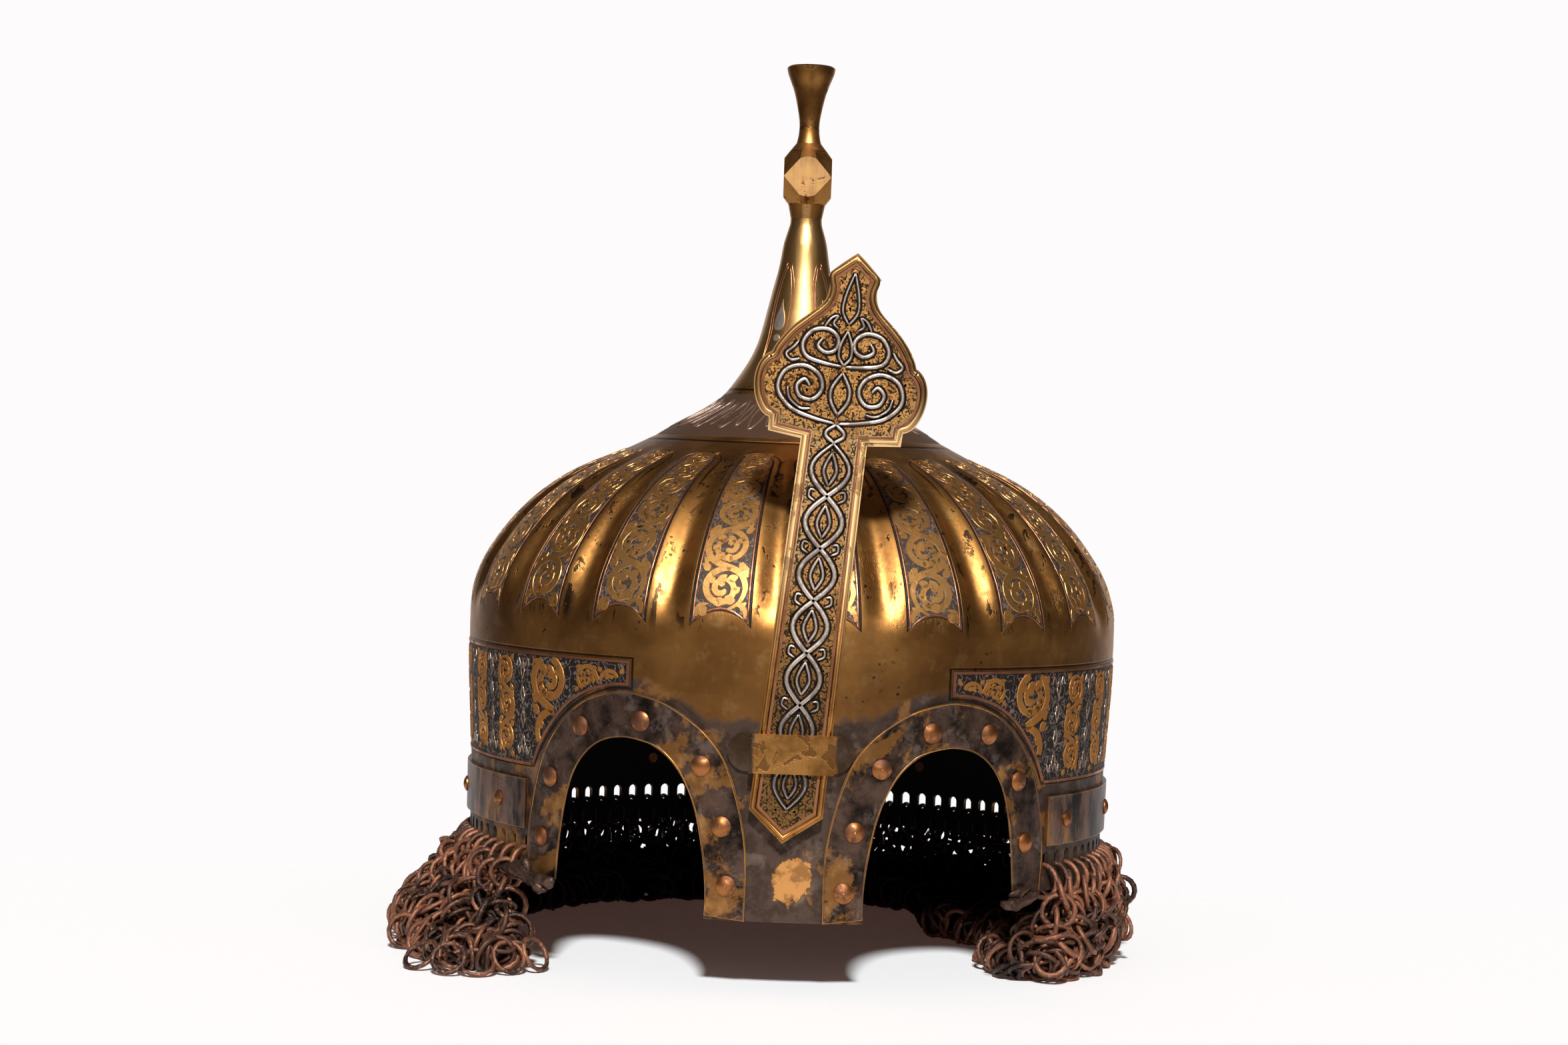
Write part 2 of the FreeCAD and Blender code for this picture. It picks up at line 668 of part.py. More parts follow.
def finial():
    body = knob()
    tall = finial_top_z - knob_top_z - knob_cap_height
    base_z = knob_top_z + knob_cap_height
    side = [V(trumpet_radius * r, 0, base_z + tall * z) for r, z in trumpet_shares]
    lip_inside = V(trumpet_bore_radius, 0, finial_top_z)
    across = lip_inside.sub(side[-1])
    crown = side[-1] + across * 0.5 + V(across.z, 0, -across.x).normalize() * trumpet_lip_crown
    rim = Part.Arc(side[-1], crown, lip_inside).toShape()
    bore = polyline([lip_inside, V(0, 0, finial_top_z - trumpet_bore_depth), V(0, 0, knob_top_z),
                     V(knob_end_radius, 0, knob_top_z), side[0]])
    trumpet = face_of([curve_through(side), rim] + bore).revolve(V(0, 0, 0), V(0, 0, 1), full_turn)
    stem = ring_solid([V(0, 0, neck_top_z), V(finial_neck_radius, 0, neck_top_z),
                       V(knob_end_radius, 0, knob_bottom_z), V(0, 0, knob_bottom_z)])
    foot = V(0, 0, neck_top_z - spigot_length)
    spigot = Part.makeCylinder(spigot_radius, spigot_length + finial_neck_radius / 2, foot)
    return body.fuse([trumpet, stem, spigot]).removeSplitter().Solids[0]


def mail_section(station):
    """One cross section of the curtain: floor, inner roll, neck under the rings and outer bulge."""
    angle, floor_in, floor_out, shoulder, shoulder_high, roll_high = station
    inner = mail_reach * floor_in
    outer = mail_reach * floor_out
    neck = wall_radius(slot_bottom_z) - wall / 2
    neck_in = neck - mail_neck_width / 2
    neck_out = neck + mail_neck_width / 2
    roll = V(inner + (neck_in - inner) * mail_inner_lean_share, 0, mail_top_z * roll_high)
    edge = V(mail_reach * shoulder, 0, mail_top_z * shoulder_high)
    bulge = mail_reach * mail_bulge_share
    inner_mid = V(inner + (roll.x - inner) * mail_roll_share, 0, roll.z / 2)
    outer_mid = V((edge.x + outer) / 2 + bulge, 0, edge.z / 2)
    edges = polyline([V(outer, 0, -mail_foot_cut), V(inner, 0, -mail_foot_cut)])
    edges.append(Part.Arc(V(inner, 0, -mail_foot_cut), inner_mid, roll).toShape())
    edges += polyline([roll, V(neck_in, 0, mail_top_z), V(neck_out, 0, mail_top_z), edge])
    edges.append(Part.Arc(edge, outer_mid, V(outer, 0, -mail_foot_cut)).toShape())
    return Part.Wire([turned(edge, angle) for edge in edges])


def mail_curtain():
    """The whole heap, cut flat where it rests on the floor."""
    heap = Part.makeLoft([mail_section(station) for station in mail_station_shares], True, False)
    below = Part.makeCylinder(2 * mail_reach, overrun, V(0, 0, -overrun))
    return heap.cut(below).Solids[0]


parts = {
    "skull": skull(),
    "finial": finial(),
    "left_eye_plate": eye_plate(-1, left_rivets),
    "right_eye_plate": eye_plate(1, right_rivets),
    "left_eye_rivets": rivets_for(left_rivets),
    "right_eye_rivets": rivets_for(right_rivets),
    "rim_strap": rim_strap(),
    "strap_rivets": rivets_for(strap_rivets),
    "nasal_bracket": nasal_bracket(),
    "nasal_bar": nasal_bar(),
    "nasal_copper_wire": nasal_wire(),
    "side_band_copper_wire": band_wire(),
    "neck_silver_drops": neck_drops(),
    "hanging_rings": hanging_rings(),
    "mail_curtain": mail_curtain(),
}

os.makedirs("parts", exist_ok=True)
for name, shape in parts.items():
    shape.exportStep("parts/" + name + ".step")
    print(name, "solids", len(shape.Solids), "valid", shape.isValid(), "volume", round(shape.Volume, 1),
          "box", shape.BoundBox)
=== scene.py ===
"""Kulah khud helmet: finishes, inlaid ornament and mail over the solid model."""
import math
import random

import bmesh
import bpy
import numpy as np
from mathutils import Matrix, Vector
from mathutils import noise as lumps
from mathutils.bvhtree import BVHTree
from mathutils.geometry import interpolate_bezier


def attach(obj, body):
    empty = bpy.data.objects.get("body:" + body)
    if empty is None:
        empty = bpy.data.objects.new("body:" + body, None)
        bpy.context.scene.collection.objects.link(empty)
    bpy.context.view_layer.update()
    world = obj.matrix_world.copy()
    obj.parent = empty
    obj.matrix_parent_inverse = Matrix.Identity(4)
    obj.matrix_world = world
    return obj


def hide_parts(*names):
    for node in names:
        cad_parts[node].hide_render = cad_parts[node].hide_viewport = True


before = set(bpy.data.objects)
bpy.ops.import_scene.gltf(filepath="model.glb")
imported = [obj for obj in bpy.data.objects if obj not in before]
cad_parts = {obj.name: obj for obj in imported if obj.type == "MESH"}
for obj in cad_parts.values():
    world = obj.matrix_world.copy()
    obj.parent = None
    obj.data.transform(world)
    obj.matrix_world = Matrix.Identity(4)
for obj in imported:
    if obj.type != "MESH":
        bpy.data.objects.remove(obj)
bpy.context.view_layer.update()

MM = 0.001
FRONT_REACH = 0.3  # metres from the axis at which rays towards the helmet start
UP = Vector((0.0, 0.0, 1.0))

# Sizes of the solid model, in millimetres and degrees
PANEL_COUNT = 20
PANEL_PITCH = 18.0
PANEL_FIRST = 6.0
PANEL_HALF = 5.1
PANEL_FOOT_Z = 116.0
PANEL_FOOT_RISE = 5.0
PANEL_CROWN_RADIUS = 67.0
PANEL_SLOPE = 1.19
BAND_TOP = 103.6
BAND_FOOT = 67.0
BAND_FRONT_X = 51.8
NECK_BAND_FOOT = 176.0
NECK_BAND_TOP = 191.0
BAR_LEAN = math.radians(5.35)
BAR_TIP_X = -1.2
BAR_TIP_Z = 48.6
BAR_FACE_Y = -114.9
BAR_SIDE = [(0.0, 0.0), (11.75, 9.5), (10.5, 127.5), (21.0, 128.7), (21.2, 132.9)]
BAR_HEAD_SIDE = [(23.8, 134.4), (26.4, 138.9), (27.35, 144.5), (26.4, 149.6), (23.9, 152.9), (22.8, 153.5),
                 (21.9, 155.9), (18.1, 161.6), (12.9, 166.7), (8.75, 170.9), (7.5, 174.7), (8.3, 179.8),
                 (4.65, 183.4), (0.0, 187.3)]
EYE_ARCH = [(25.3, 22.8), (25.7, 37.9), (27.0, 46.9), (29.4, 57.6), (34.0, 68.0), (38.5, 73.6), (43.5, 77.0),
            (53.5, 78.9), (60.5, 77.0), (66.0, 72.0), (69.6, 65.0), (71.4, 58.0), (72.8, 49.0), (73.6, 40.0),
            (74.2, 30.4)]
PLATE_ARCH = [(12.4, 22.8), (12.3, 33.0), (12.6, 46.0), (15.1, 59.0), (18.7, 70.5), (22.1, 76.8),
              (28.4, 83.6), (38.5, 90.2), (46.8, 92.9), (53.3, 93.7), (62.0, 92.0), (69.0, 88.0),
              (75.0, 80.9), (79.4, 72.7), (82.2, 62.6), (84.0, 51.2), (84.5, 44.1), (84.4, 38.2),
              (84.0, 30.4)]
# Ellipse over each eye plate: middle, half width and half height, and mm that one share of it stands for
PLATE_X = 53.0
PLATE_Z = 48.0
PLATE_HALF_WIDE = 31.6
PLATE_HALF_HIGH = 45.7
PLATE_SCALE = 38.0
WALL_RADIUS = 112.0
WALL_ROUND = 2 * math.pi * WALL_RADIUS
BAND_START = math.asin(BAND_FRONT_X / WALL_RADIUS) * WALL_RADIUS
DROP_COUNT = 5
DROP_FIRST = -37.0
RING_COUNT = 73
RING_FIRST = 51.5
# Mail heap: angle from the front, then inner, outer and shoulder radius, and heights of the shoulder,
# of the inner roll and under the rim
MAIL_STATIONS = [
    (50, 93, 112.5, 114.5, 14.5, 10.8, 17.5), (57, 81, 113, 115.5, 22.6, 12, 25),
    (74, 78, 112, 115.5, 23, 12, 26), (92, 66, 111, 114.8, 24, 11.3, 26),
    (112, 57, 112.5, 115, 22, 11, 24), (130, 69, 115, 115, 20, 10, 22),
    (148, 93, 119, 116, 19.5, 9, 21.5), (168, 99, 123, 117, 19.5, 9, 21.5),
    (188, 96, 124, 117, 19.5, 9, 21.5), (208, 97, 125, 117, 19.5, 9, 21.5),
    (228, 99, 126, 118, 21, 10, 22), (246, 97, 129, 119, 25, 13, 25),
    (264, 100, 133, 121, 27, 15, 30), (282, 102, 134, 121.5, 27, 15, 30),
    (297, 108, 139, 121, 24, 14, 25), (306, 112, 140, 119.5, 20, 12, 19), (313, 116, 136, 121, 13, 8, 13)]
MAIL_FIRST = 50.6
MAIL_LAST = 312.5
MAIL_RADIUS = 116.0
MAIL_RIGHT_TO = 110.0
MAIL_LEFT_FROM = 250.0
IRON_RING_RADIUS = 5.35
IRON_WIRE_RADIUS = 0.88
# Layers of the heap: depth, how loose the rings lie, spread of the depth, spacing along and round, name's end
MAIL_LAYERS = [(2.4, 0.55, (-1.0, 3.0), 11.6, 4.7, ""), (6.6, 0.8, (-1.5, 1.5), 10.8, 4.2, "_under"),
               (10.6, 0.9, (-1.5, 1.5), 10.8, 4.2, "_under")]
# Rows between rim and heap: offset in slots, height, radius, and whether the row is only behind
HANGING_ROWS = [(0.5, 29.5, 114.0, False), (0.0, 27.0, 112.0, True), (0.0, 24.5, 115.0, False),
                (0.5, 22.5, 111.5, True), (0.5, 19.0, 113.5, False)]
# x and y of each stray ring on the floor, how far it leans, and towards which side of the front
STRAY_RINGS = [(-125.0, -38.0, 0.4, 280), (-117.0, -84.0, 0.9, 320), (-107.0, -94.0, 1.4, 350),
               (-98.0, -93.0, 0.7, 10), (-88.0, -89.0, 1.6, 30), (-80.0, -82.0, 1.8, 60),
               (-91.0, -82.0, 1.0, 350), (93.0, -60.0, 0.5, 30), (103.0, -49.0, 0.8, 70),
               (83.0, -58.0, 1.3, 350), (76.0, -48.0, 1.0, 320), (71.0, -30.0, 0.6, 300),
               (108.0, -32.0, 1.2, 80)]

# Sizes of the ornament, in millimetres and degrees
STROKE_SINK = 0.06
BORDER_MARGIN = 1.0
PROFILE_FOOT = 112.0
PROFILE_STEP = 0.5
BAND_LOW = BAND_FOOT + 2.2
BAND_HIGH = BAND_TOP - 2.0
BAND_GAP = 1.2
FRONT_CELL = 21.0
FRONT_VINE_Z = 96.6
FRONT_VINE_HALF = 4.6
CORNER_CELL = 17.0
VINE_CELL = 10.6
REED_CELL = 9.0
LOZENGES = 4
LANCET_UNIT = 15.0
STEM_FOOT = 11.0
STEM_TOP = 127.0
STEM_EYES = 7
EDGE_INSET = 0.42

# Camera as fitted to the photo, in millimetres and degrees, and the lamp
CAMERA_PLACE = (-4.05, -1140.7, 176.7)
CAMERA_LENS = 75.0
CAMERA_SENSOR = 36.0
CAMERA_DOWN = 1.5
CAMERA_ROLL = 2.0
LAMP_POWER = 4.55
LAMP_SPREAD = 6.0
LAMP_RISE = 41.0


# ---------------------------------------------------------------- shading tools

def plug(tree, value, socket):
    """Links a field or a socket to a node's socket, or writes a constant on it."""
    value = value.socket if isinstance(value, Field) else value
    if isinstance(value, bpy.types.NodeSocket):
        tree.links.new(value, socket)
    else:
        socket.default_value = value


def put(tree, kind, inputs=None, **settings):
    """Adds a node, sets it up, and wires or fills its inputs."""
    node = tree.nodes.new(kind)
    for key, value in settings.items():
        setattr(node, key, value)
    for key, value in (inputs or {}).items():
        plug(tree, value, node.inputs[key])
    return node


class Field:
    """A number that varies over the surface; arithmetic on it adds Math nodes."""

    def __init__(self, tree, socket):
        self.tree = tree
        self.socket = socket

    def math(self, operation, first, second=0.0, third=0.0):
        node = put(self.tree, "ShaderNodeMath", {0: first, 1: second, 2: third}, operation=operation)
        return Field(self.tree, node.outputs[0])

    def __add__(self, other):
        return self.math("ADD", self, other)

    def __sub__(self, other):
        return self.math("SUBTRACT", self, other)

    def __rsub__(self, other):
        return self.math("SUBTRACT", other, self)

    def __mul__(self, other):
        return self.math("MULTIPLY", self, other)

    def __truediv__(self, other):
        return self.math("DIVIDE", self, other)

    def size(self):
        return self.math("ABSOLUTE", self)

    def root(self):
        return self.math("SQRT", self)

    def part(self):
        return self.math("FRACT", self)

    def least(self, other):
        return self.math("MINIMUM", self, other)

    def most(self, other):
        return self.math("MAXIMUM", self, other)

    def ramp(self, low, high, start, end):
        """From start below low to end above high, smooth between."""
        node = put(self.tree, "ShaderNodeMapRange", {0: self, 1: low, 2: high, 3: start, 4: end},
                   interpolation_type="SMOOTHSTEP")
        return Field(self.tree, node.outputs[0])

    def rise(self, low, high):
        return self.ramp(low, high, 0.0, 1.0)

    def fall(self, low, high):
        return self.ramp(low, high, 1.0, 0.0)


def axes(tree, place):
    """The three coordinates of a place."""
    parts = put(tree, "ShaderNodeSeparateXYZ", {0: place})
    return [Field(tree, socket) for socket in parts.outputs]


def noise(tree, place, scale, detail=4.0, roughness=0.55, distortion=0.0):
    node = put(tree, "ShaderNodeTexNoise", {"Vector": place, "Scale": scale, "Detail": detail,
                                            "Roughness": roughness, "Distortion": distortion})
    return Field(tree, node.outputs["Fac"])


def stretched(tree, place, size=(1.0, 1.0, 1.0), turn=(0.0, 0.0, 0.0), shift=(0.0, 0.0, 0.0)):
    """Pattern coordinates scaled, turned and moved."""
    node = put(tree, "ShaderNodeMapping", {"Vector": place, "Location": shift, "Rotation": turn, "Scale": size})
    return node.outputs[0]


def blend_colour(tree, share, first, second):
    """The first colour where share is 0, the second where it is 1."""
    return put(tree, "ShaderNodeMix", {0: share, 6: first, 7: second}, data_type="RGBA").outputs[2]


def new_group(name, inputs, outputs=("Mask",)):
    """An empty shader node group; returns its tree, its inputs as fields and its output node."""
    tree = bpy.data.node_groups.new(name, "ShaderNodeTree")
    for label, value in inputs.items():
        kind = "NodeSocketVector" if isinstance(value, tuple) else "NodeSocketFloat"
        tree.interface.new_socket(label, in_out="INPUT", socket_type=kind).default_value = value
    for label in outputs:
        tree.interface.new_socket(label, in_out="OUTPUT", socket_type="NodeSocketFloat")
    start = tree.nodes.new("NodeGroupInput").outputs
    end = tree.nodes.new("NodeGroupOutput")
    return tree, {label: Field(tree, start[label]) for label in inputs}, end


def use_group(tree, group, inputs, output="Mask"):
    return Field(tree, put(tree, "ShaderNodeGroup", inputs, node_tree=group).outputs[output])


def make_patches():
    """Ragged stains: broad noise with its edge broken by finer noise."""
    tree, start, end = new_group("Ragged stains", {"Place": (0.0, 0.0, 0.0), "Size": 60.0, "Cover": 0.5,
                                                   "Edge": 0.04, "Break up": 0.25})
    broad = noise(tree, start["Place"], start["Size"], 5.0, 0.6, 0.6)
    fine = noise(tree, start["Place"], start["Size"] * 7.0, 3.0, 0.7)
    level = 0.5 - (start["Cover"] - 0.5) * 0.6
    mask = (broad + (fine - 0.5) * start["Break up"]).rise(level - start["Edge"], level + start["Edge"])
    plug(tree, mask, end.inputs["Mask"])
    return tree


def make_scratches():
    """Fine scratches, drawn out along the height, in two slanting directions."""
    tree, start, end = new_group("Fine scratches", {"Place": (0.0, 0.0, 0.0), "Size": 200.0, "Width": 0.012,
                                                    "Cover": 0.5})
    total = None
    for turn, shift in (((0.0, 0.6, 0.1), 0.0), ((0.0, -0.9, 0.1), 3.0)):
        lines = stretched(tree, start["Place"], (1.0, 1.0, 0.015), turn, (shift, 0.0, 0.0))
        gap = (noise(tree, lines, start["Size"], 0.0, 0.4) - 0.5).size()
        line = (1.0 - gap / start["Width"]).most(0.0)
        here = noise(tree, start["Place"], 45.0, 2.0, 0.5)
        line = line * (here + (start["Cover"] - 1.0)).rise(0.0, 0.15)
        total = line if total is None else total.most(line)
    plug(tree, total, end.inputs["Mask"])
    return tree


def make_pits():
    """Small dark pits and specks in clusters."""
    tree, start, end = new_group("Pits and specks", {"Place": (0.0, 0.0, 0.0), "Size": 500.0, "Cover": 0.5})
    cells = put(tree, "ShaderNodeTexVoronoi", {"Vector": start["Place"], "Scale": start["Size"]})
    dot = Field(tree, cells.outputs["Distance"]).fall(0.18, 0.3)
    here = noise(tree, start["Place"], 70.0, 3.0, 0.6)
    plug(tree, dot * (here + (start["Cover"] - 1.0)).rise(0.0, 0.08), end.inputs["Mask"])
    return tree


def make_wear():
    """How much a place stands on an edge, where handling has rubbed it bright."""
    tree, start, end = new_group("Rubbed edges", {"Reach": 0.0006, "Strength": 1.0})
    soft = put(tree, "ShaderNodeBevel", {"Radius": start["Reach"]}, samples=4)
    sharp = put(tree, "ShaderNodeNewGeometry")
    dot = put(tree, "ShaderNodeVectorMath", {0: soft.outputs[0], 1: sharp.outputs["Normal"]},
              operation="DOT_PRODUCT")
    mask = (1.0 - Field(tree, dot.outputs["Value"])) * 4.0
    plug(tree, (mask * start["Strength"]).least(1.0), end.inputs["Mask"])
    return tree


BOWL_MASKS = ("Ground", "Line", "Flute edge", "Inside", "Height", "Plate gap", "Side")


def make_bowl_fields():
    """Where the bowl has sunk ground, cut border lines, bare flutes and its inside, all in millimetres."""
    tree, start, end = new_group("Bowl layout", {"Place": (0.0, 0.0, 0.0)}, BOWL_MASKS)
    x, y, z = axes(tree, stretched(tree, start["Place"], (1000.0, 1000.0, 1000.0)))
    radius = (x * x + y * y).root()
    angle = x.math("ARCTAN2", x, y * -1.0) * (180.0 / math.pi)
    pitch = ((angle - PANEL_FIRST) / PANEL_PITCH + 0.5).part() - 0.5
    across = (pitch * math.radians(PANEL_PITCH) * radius).size()
    half = radius * math.tan(math.radians(PANEL_HALF))
    beyond_side = across - half
    crown_half = PANEL_CROWN_RADIUS * math.tan(math.radians(PANEL_HALF))
    up = ((radius * -1.0 + PANEL_CROWN_RADIUS) * PANEL_SLOPE).most(0.0)
    crown_gate = z.rise(140.0, 150.0)
    beyond_crown = (across * across + up * up).root() - crown_half - (1.0 - crown_gate) * 50.0
    share = across / half
    foot = (1.0 - share * share) * PANEL_FOOT_RISE + PANEL_FOOT_Z
    beyond_foot = foot - z
    beyond = beyond_side.most(beyond_foot)
    beyond_top = beyond_crown.most(beyond_foot)
    on_crown = (radius * -1.0 + PANEL_CROWN_RADIUS).rise(-0.01, 0.0) * crown_gate
    beyond = beyond * (1.0 - on_crown) + beyond_top * on_crown
    upper_half = z.rise(110.0, 111.0) * z.fall(178.0, 179.0)
    panel = beyond.fall(-0.15, 0.1) * upper_half
    edge = (beyond + 0.3).size().fall(0.2, 0.5) * upper_half
    outline = (beyond - 2.1).size().fall(0.12, 0.4) * z.rise(158.0, 164.0) * z.fall(174.0, 176.0)
    # side band, cut away round the eye plates by an ellipse
    side_x = (x.size() - PLATE_X) / (PLATE_HALF_WIDE + 2.0)
    side_z = (z - PLATE_Z) / (PLATE_HALF_HIGH + 2.0)
    off_plate = ((side_x * side_x + side_z * side_z).root() - 1.0) * PLATE_SCALE
    at_back = y.rise(-2.0, 2.0)
    off_plate = off_plate + at_back * 80.0
    in_front = (x.size() - BAND_FRONT_X) + at_back * 80.0
    band = (BAND_TOP - z).least(z - BAND_FOOT).least(off_plate).least(in_front)
    band_ground = band.rise(-0.1, 0.15)
    band_line = (band + 0.9).size().fall(0.15, 0.5)
    beside = x.size() - PLATE_X
    beside = (beside / PLATE_HALF_WIDE).most(beside / -40.6)
    above = ((z - PLATE_Z) / PLATE_HALF_HIGH).most(0.0)
    plate_gap = ((beside * beside + above * above).root() - 1.0) * 40.0 + at_back * 80.0
    # neck band
    neck = (NECK_BAND_TOP - z).least(z - NECK_BAND_FOOT)
    neck_ground = neck.rise(-0.1, 0.3)
    neck_line = (neck + 1.5).size().fall(0.15, 0.5)
    ground = panel.most(band_ground).most(neck_ground)
    line = edge.most(outline).most(band_line).most(neck_line)
    flute_edge = beyond.rise(0.5, 2.0) * beyond.fall(3.0, 6.5) * z.rise(112.0, 120.0) * z.fall(166.0, 172.0)
    normal = tree.nodes.new("ShaderNodeNewGeometry").outputs["Normal"]
    out = put(tree, "ShaderNodeVectorMath", {0: start["Place"], 1: (1.0, 1.0, 0.0)}, operation="MULTIPLY")
    facing = put(tree, "ShaderNodeVectorMath", {0: normal, 1: out.outputs[0]}, operation="DOT_PRODUCT")
    inside = Field(tree, facing.outputs["Value"]).fall(-0.03, -0.015)
    for label, value in zip(BOWL_MASKS, (ground, line, flute_edge, inside, z, plate_gap, x)):
        plug(tree, value, end.inputs[label])
    return tree


STAINS = make_patches()
SCRATCHES = make_scratches()
PITS = make_pits()
WEAR = make_wear()
BOWL = make_bowl_fields()


def stained(tree, place, size, cover, edge):
    return use_group(tree, STAINS, {"Place": place, "Size": size, "Cover": cover, "Edge": edge})


def pitted(tree, place, size, cover):
    return use_group(tree, PITS, {"Place": place, "Size": size, "Cover": cover})


def scratched(tree, place, size, cover):
    return use_group(tree, SCRATCHES, {"Place": place, "Size": size, "Cover": cover})


def rgb(red, green, blue):
    return (red, green, blue, 1.0)


GOLD = rgb(0.64, 0.305, 0.085)
VINE_BRIGHT = rgb(0.74, 0.39, 0.13)
VINE_DOME = rgb(0.64, 0.335, 0.11)
REED_SILVER = rgb(0.46, 0.35, 0.28)
GOLD_DEEP = rgb(0.36, 0.158, 0.042)
GOLD_PALE = rgb(0.80, 0.50, 0.20)
GOLD_HIGHLIGHT = rgb(0.88, 0.60, 0.30)
UMBER = rgb(0.115, 0.048, 0.018)
PATINA = rgb(0.135, 0.080, 0.058)
PATINA_PALE = rgb(0.27, 0.20, 0.165)
GROUND = rgb(0.066, 0.043, 0.031)
BAR_GROUND = rgb(0.13, 0.070, 0.036)
NECK_GROUND = rgb(0.105, 0.055, 0.032)
BLACK_BROWN = rgb(0.016, 0.011, 0.009)
FLAKE = rgb(0.032, 0.019, 0.015)
STRAP_BROWN = rgb(0.27, 0.155, 0.115)
WING_GREY = rgb(0.105, 0.082, 0.075)
WALL_PATINA = rgb(0.070, 0.046, 0.037)
SHADE_BLACK = rgb(0.004, 0.003, 0.003)
COPPER = rgb(0.60, 0.26, 0.14)
COPPER_WORN = rgb(0.40, 0.155, 0.052)
COPPER_DARK = rgb(0.14, 0.065, 0.042)
COPPER_DULL = rgb(0.26, 0.11, 0.06)
SILVER = rgb(0.93, 0.80, 0.69)
SILVER_DULL = rgb(0.26, 0.20, 0.165)
SILVER_WORN = rgb(0.66, 0.45, 0.35)
RUST = rgb(0.255, 0.098, 0.050)
RUST_DARK = rgb(0.040, 0.018, 0.013)
RUST_LIGHT = rgb(0.50, 0.245, 0.135)


def new_finish(name):
    """A material with an empty recipe: its tree, its shader, its pattern coordinates."""
    material = bpy.data.materials.new(name)
    material.use_nodes = True
    tree = material.node_tree
    tree.nodes.clear()
    shader = put(tree, "ShaderNodeBsdfPrincipled")
    put(tree, "ShaderNodeOutputMaterial", {"Surface": shader.outputs[0]})
    place = put(tree, "ShaderNodeTexCoord").outputs["Object"]
    return material, tree, shader, place


def settle(tree, shader, colour, metallic, roughness, height=None, depth=0.0001, strength=1.0):
    """Wires a finished recipe into the shader."""
    for socket, value in (("Base Color", colour), ("Metallic", metallic), ("Roughness", roughness)):
        plug(tree, value, shader.inputs[socket])
    if height is not None:
        bump = put(tree, "ShaderNodeBump", {"Height": height, "Distance": depth, "Strength": strength})
        tree.links.new(bump.outputs[0], shader.inputs["Normal"])


def bowl_finish():
    """Worn brass of the bowl, with its sunk grounds, patina, flakes and the bare blotch on the nose."""
    material, tree, shader, place = new_finish("Fluted bowl brass")
    layout = put(tree, "ShaderNodeGroup", {"Place": place}, node_tree=BOWL).outputs
    ground, line, flute_edge, inside, height, plate_gap, side = [Field(tree, layout[label]) for label in BOWL_MASKS]
    cloud = noise(tree, place, 28.0, 4.0, 0.6, 0.4)
    mottle = noise(tree, place, 160.0, 4.0, 0.65)
    colour = blend_colour(tree, cloud.rise(0.30, 0.75), GOLD_DEEP, GOLD)
    colour = blend_colour(tree, mottle.rise(0.52, 0.7) * 0.35, colour, GOLD_PALE)
    # brown tarnish in stains, and the dome darker towards its foot
    tarnish = stained(tree, place, 22.0, 0.42, 0.12)
    colour = blend_colour(tree, tarnish * 0.35, colour, UMBER)
    colour = blend_colour(tree, height.fall(92.0, 122.0) * 0.46, colour, UMBER)
    # dark flakes along the edges of the flutes
    streak = stretched(tree, place, (1.0, 1.0, 0.4))
    flakes = stained(tree, streak, 190.0, 0.36, 0.02)
    flakes = flakes * flute_edge
    colour = blend_colour(tree, flakes * 0.92, colour, FLAKE)
    specks = pitted(tree, place, 420.0, 0.42)
    colour = blend_colour(tree, specks * 0.8, colour, FLAKE)
    # grey-brown patina below a wavy line over the eyes and close round the eye plates
    wave = noise(tree, place, 40.0, 5.0, 0.65) - 0.5
    low = (height + wave * 22.0).fall(86.0, 90.0)
    low = low.most((plate_gap + wave * 14.0).fall(2.5, 5.0) * height.fall(100.0, 104.0))
    old = stained(tree, place, 48.0, 0.42, 0.05)
    patina = blend_colour(tree, mottle.rise(0.44, 0.58) * 0.6, WALL_PATINA, BLACK_BROWN)
    patina = blend_colour(tree, old * 0.7, patina, GOLD_DEEP)
    pale = stained(tree, place, 90.0, 0.30, 0.08)
    patina = blend_colour(tree, pale * 0.35, patina, PATINA_PALE)
    colour = blend_colour(tree, low * 0.94, colour, patina)
    # bare golden blotch on the nose
    ragged = noise(tree, place, 70.0, 5.0, 0.65) - 0.5
    apart = (side - 1.6) * (side - 1.6) * 1.7 + (height - 36.5) * (height - 36.5)
    blotch = (apart.root() + ragged * 26.0).fall(8.6, 9.6)
    rim = blotch * (1.0 - blotch) * 4.0
    bare = blend_colour(tree, mottle.rise(0.44, 0.56), GOLD, GOLD_DEEP)
    colour = blend_colour(tree, blotch * 0.85, colour, bare)
    colour = blend_colour(tree, rim.least(1.0) * 0.7, colour, UMBER)
    upper = height.rise(170.0, 172.0)
    value = noise(tree, place, 420.0, 1.0, 0.4, 0.8)
    chased = (value - 0.5).size().fall(0.02, 0.05) * (1.0 - upper)
    deep = blend_colour(tree, height.fall(106.0, 110.0), GROUND, BLACK_BROWN)
    cut_ground = blend_colour(tree, chased * 0.6, deep, PATINA_PALE)
    colour = blend_colour(tree, ground, colour, blend_colour(tree, upper, cut_ground, NECK_GROUND))
    # painted highlight: the neck above 190 mm is painted paler gold
    colour = blend_colour(tree, height.rise(190.0, 198.0) * 0.55, colour, GOLD_PALE)
    colour = blend_colour(tree, line * 0.85, colour, BLACK_BROWN)
    # the inside of the bowl: dark metal, painted near black as shade
    colour = blend_colour(tree, inside, colour, SHADE_BLACK)
    metallic = 1.0 - (ground * 0.45).most(inside).most(low * 0.25)
    rough = cloud * 0.10 + 0.37 - height.rise(184.0, 196.0) * 0.04
    rough = rough + low * 0.10 + ground * 0.15 + blotch * 0.1 + inside * 0.5
    hair = scratched(tree, place, 900.0, 0.50)
    relief = ground * (chased * 0.35 - 1.0) - line * 1.2 - flakes * 0.1 - specks * 0.1 - hair * 0.05 + mottle * 0.06
    settle(tree, shader, colour, metallic, rough, relief, 0.00035, 0.9)
    return material


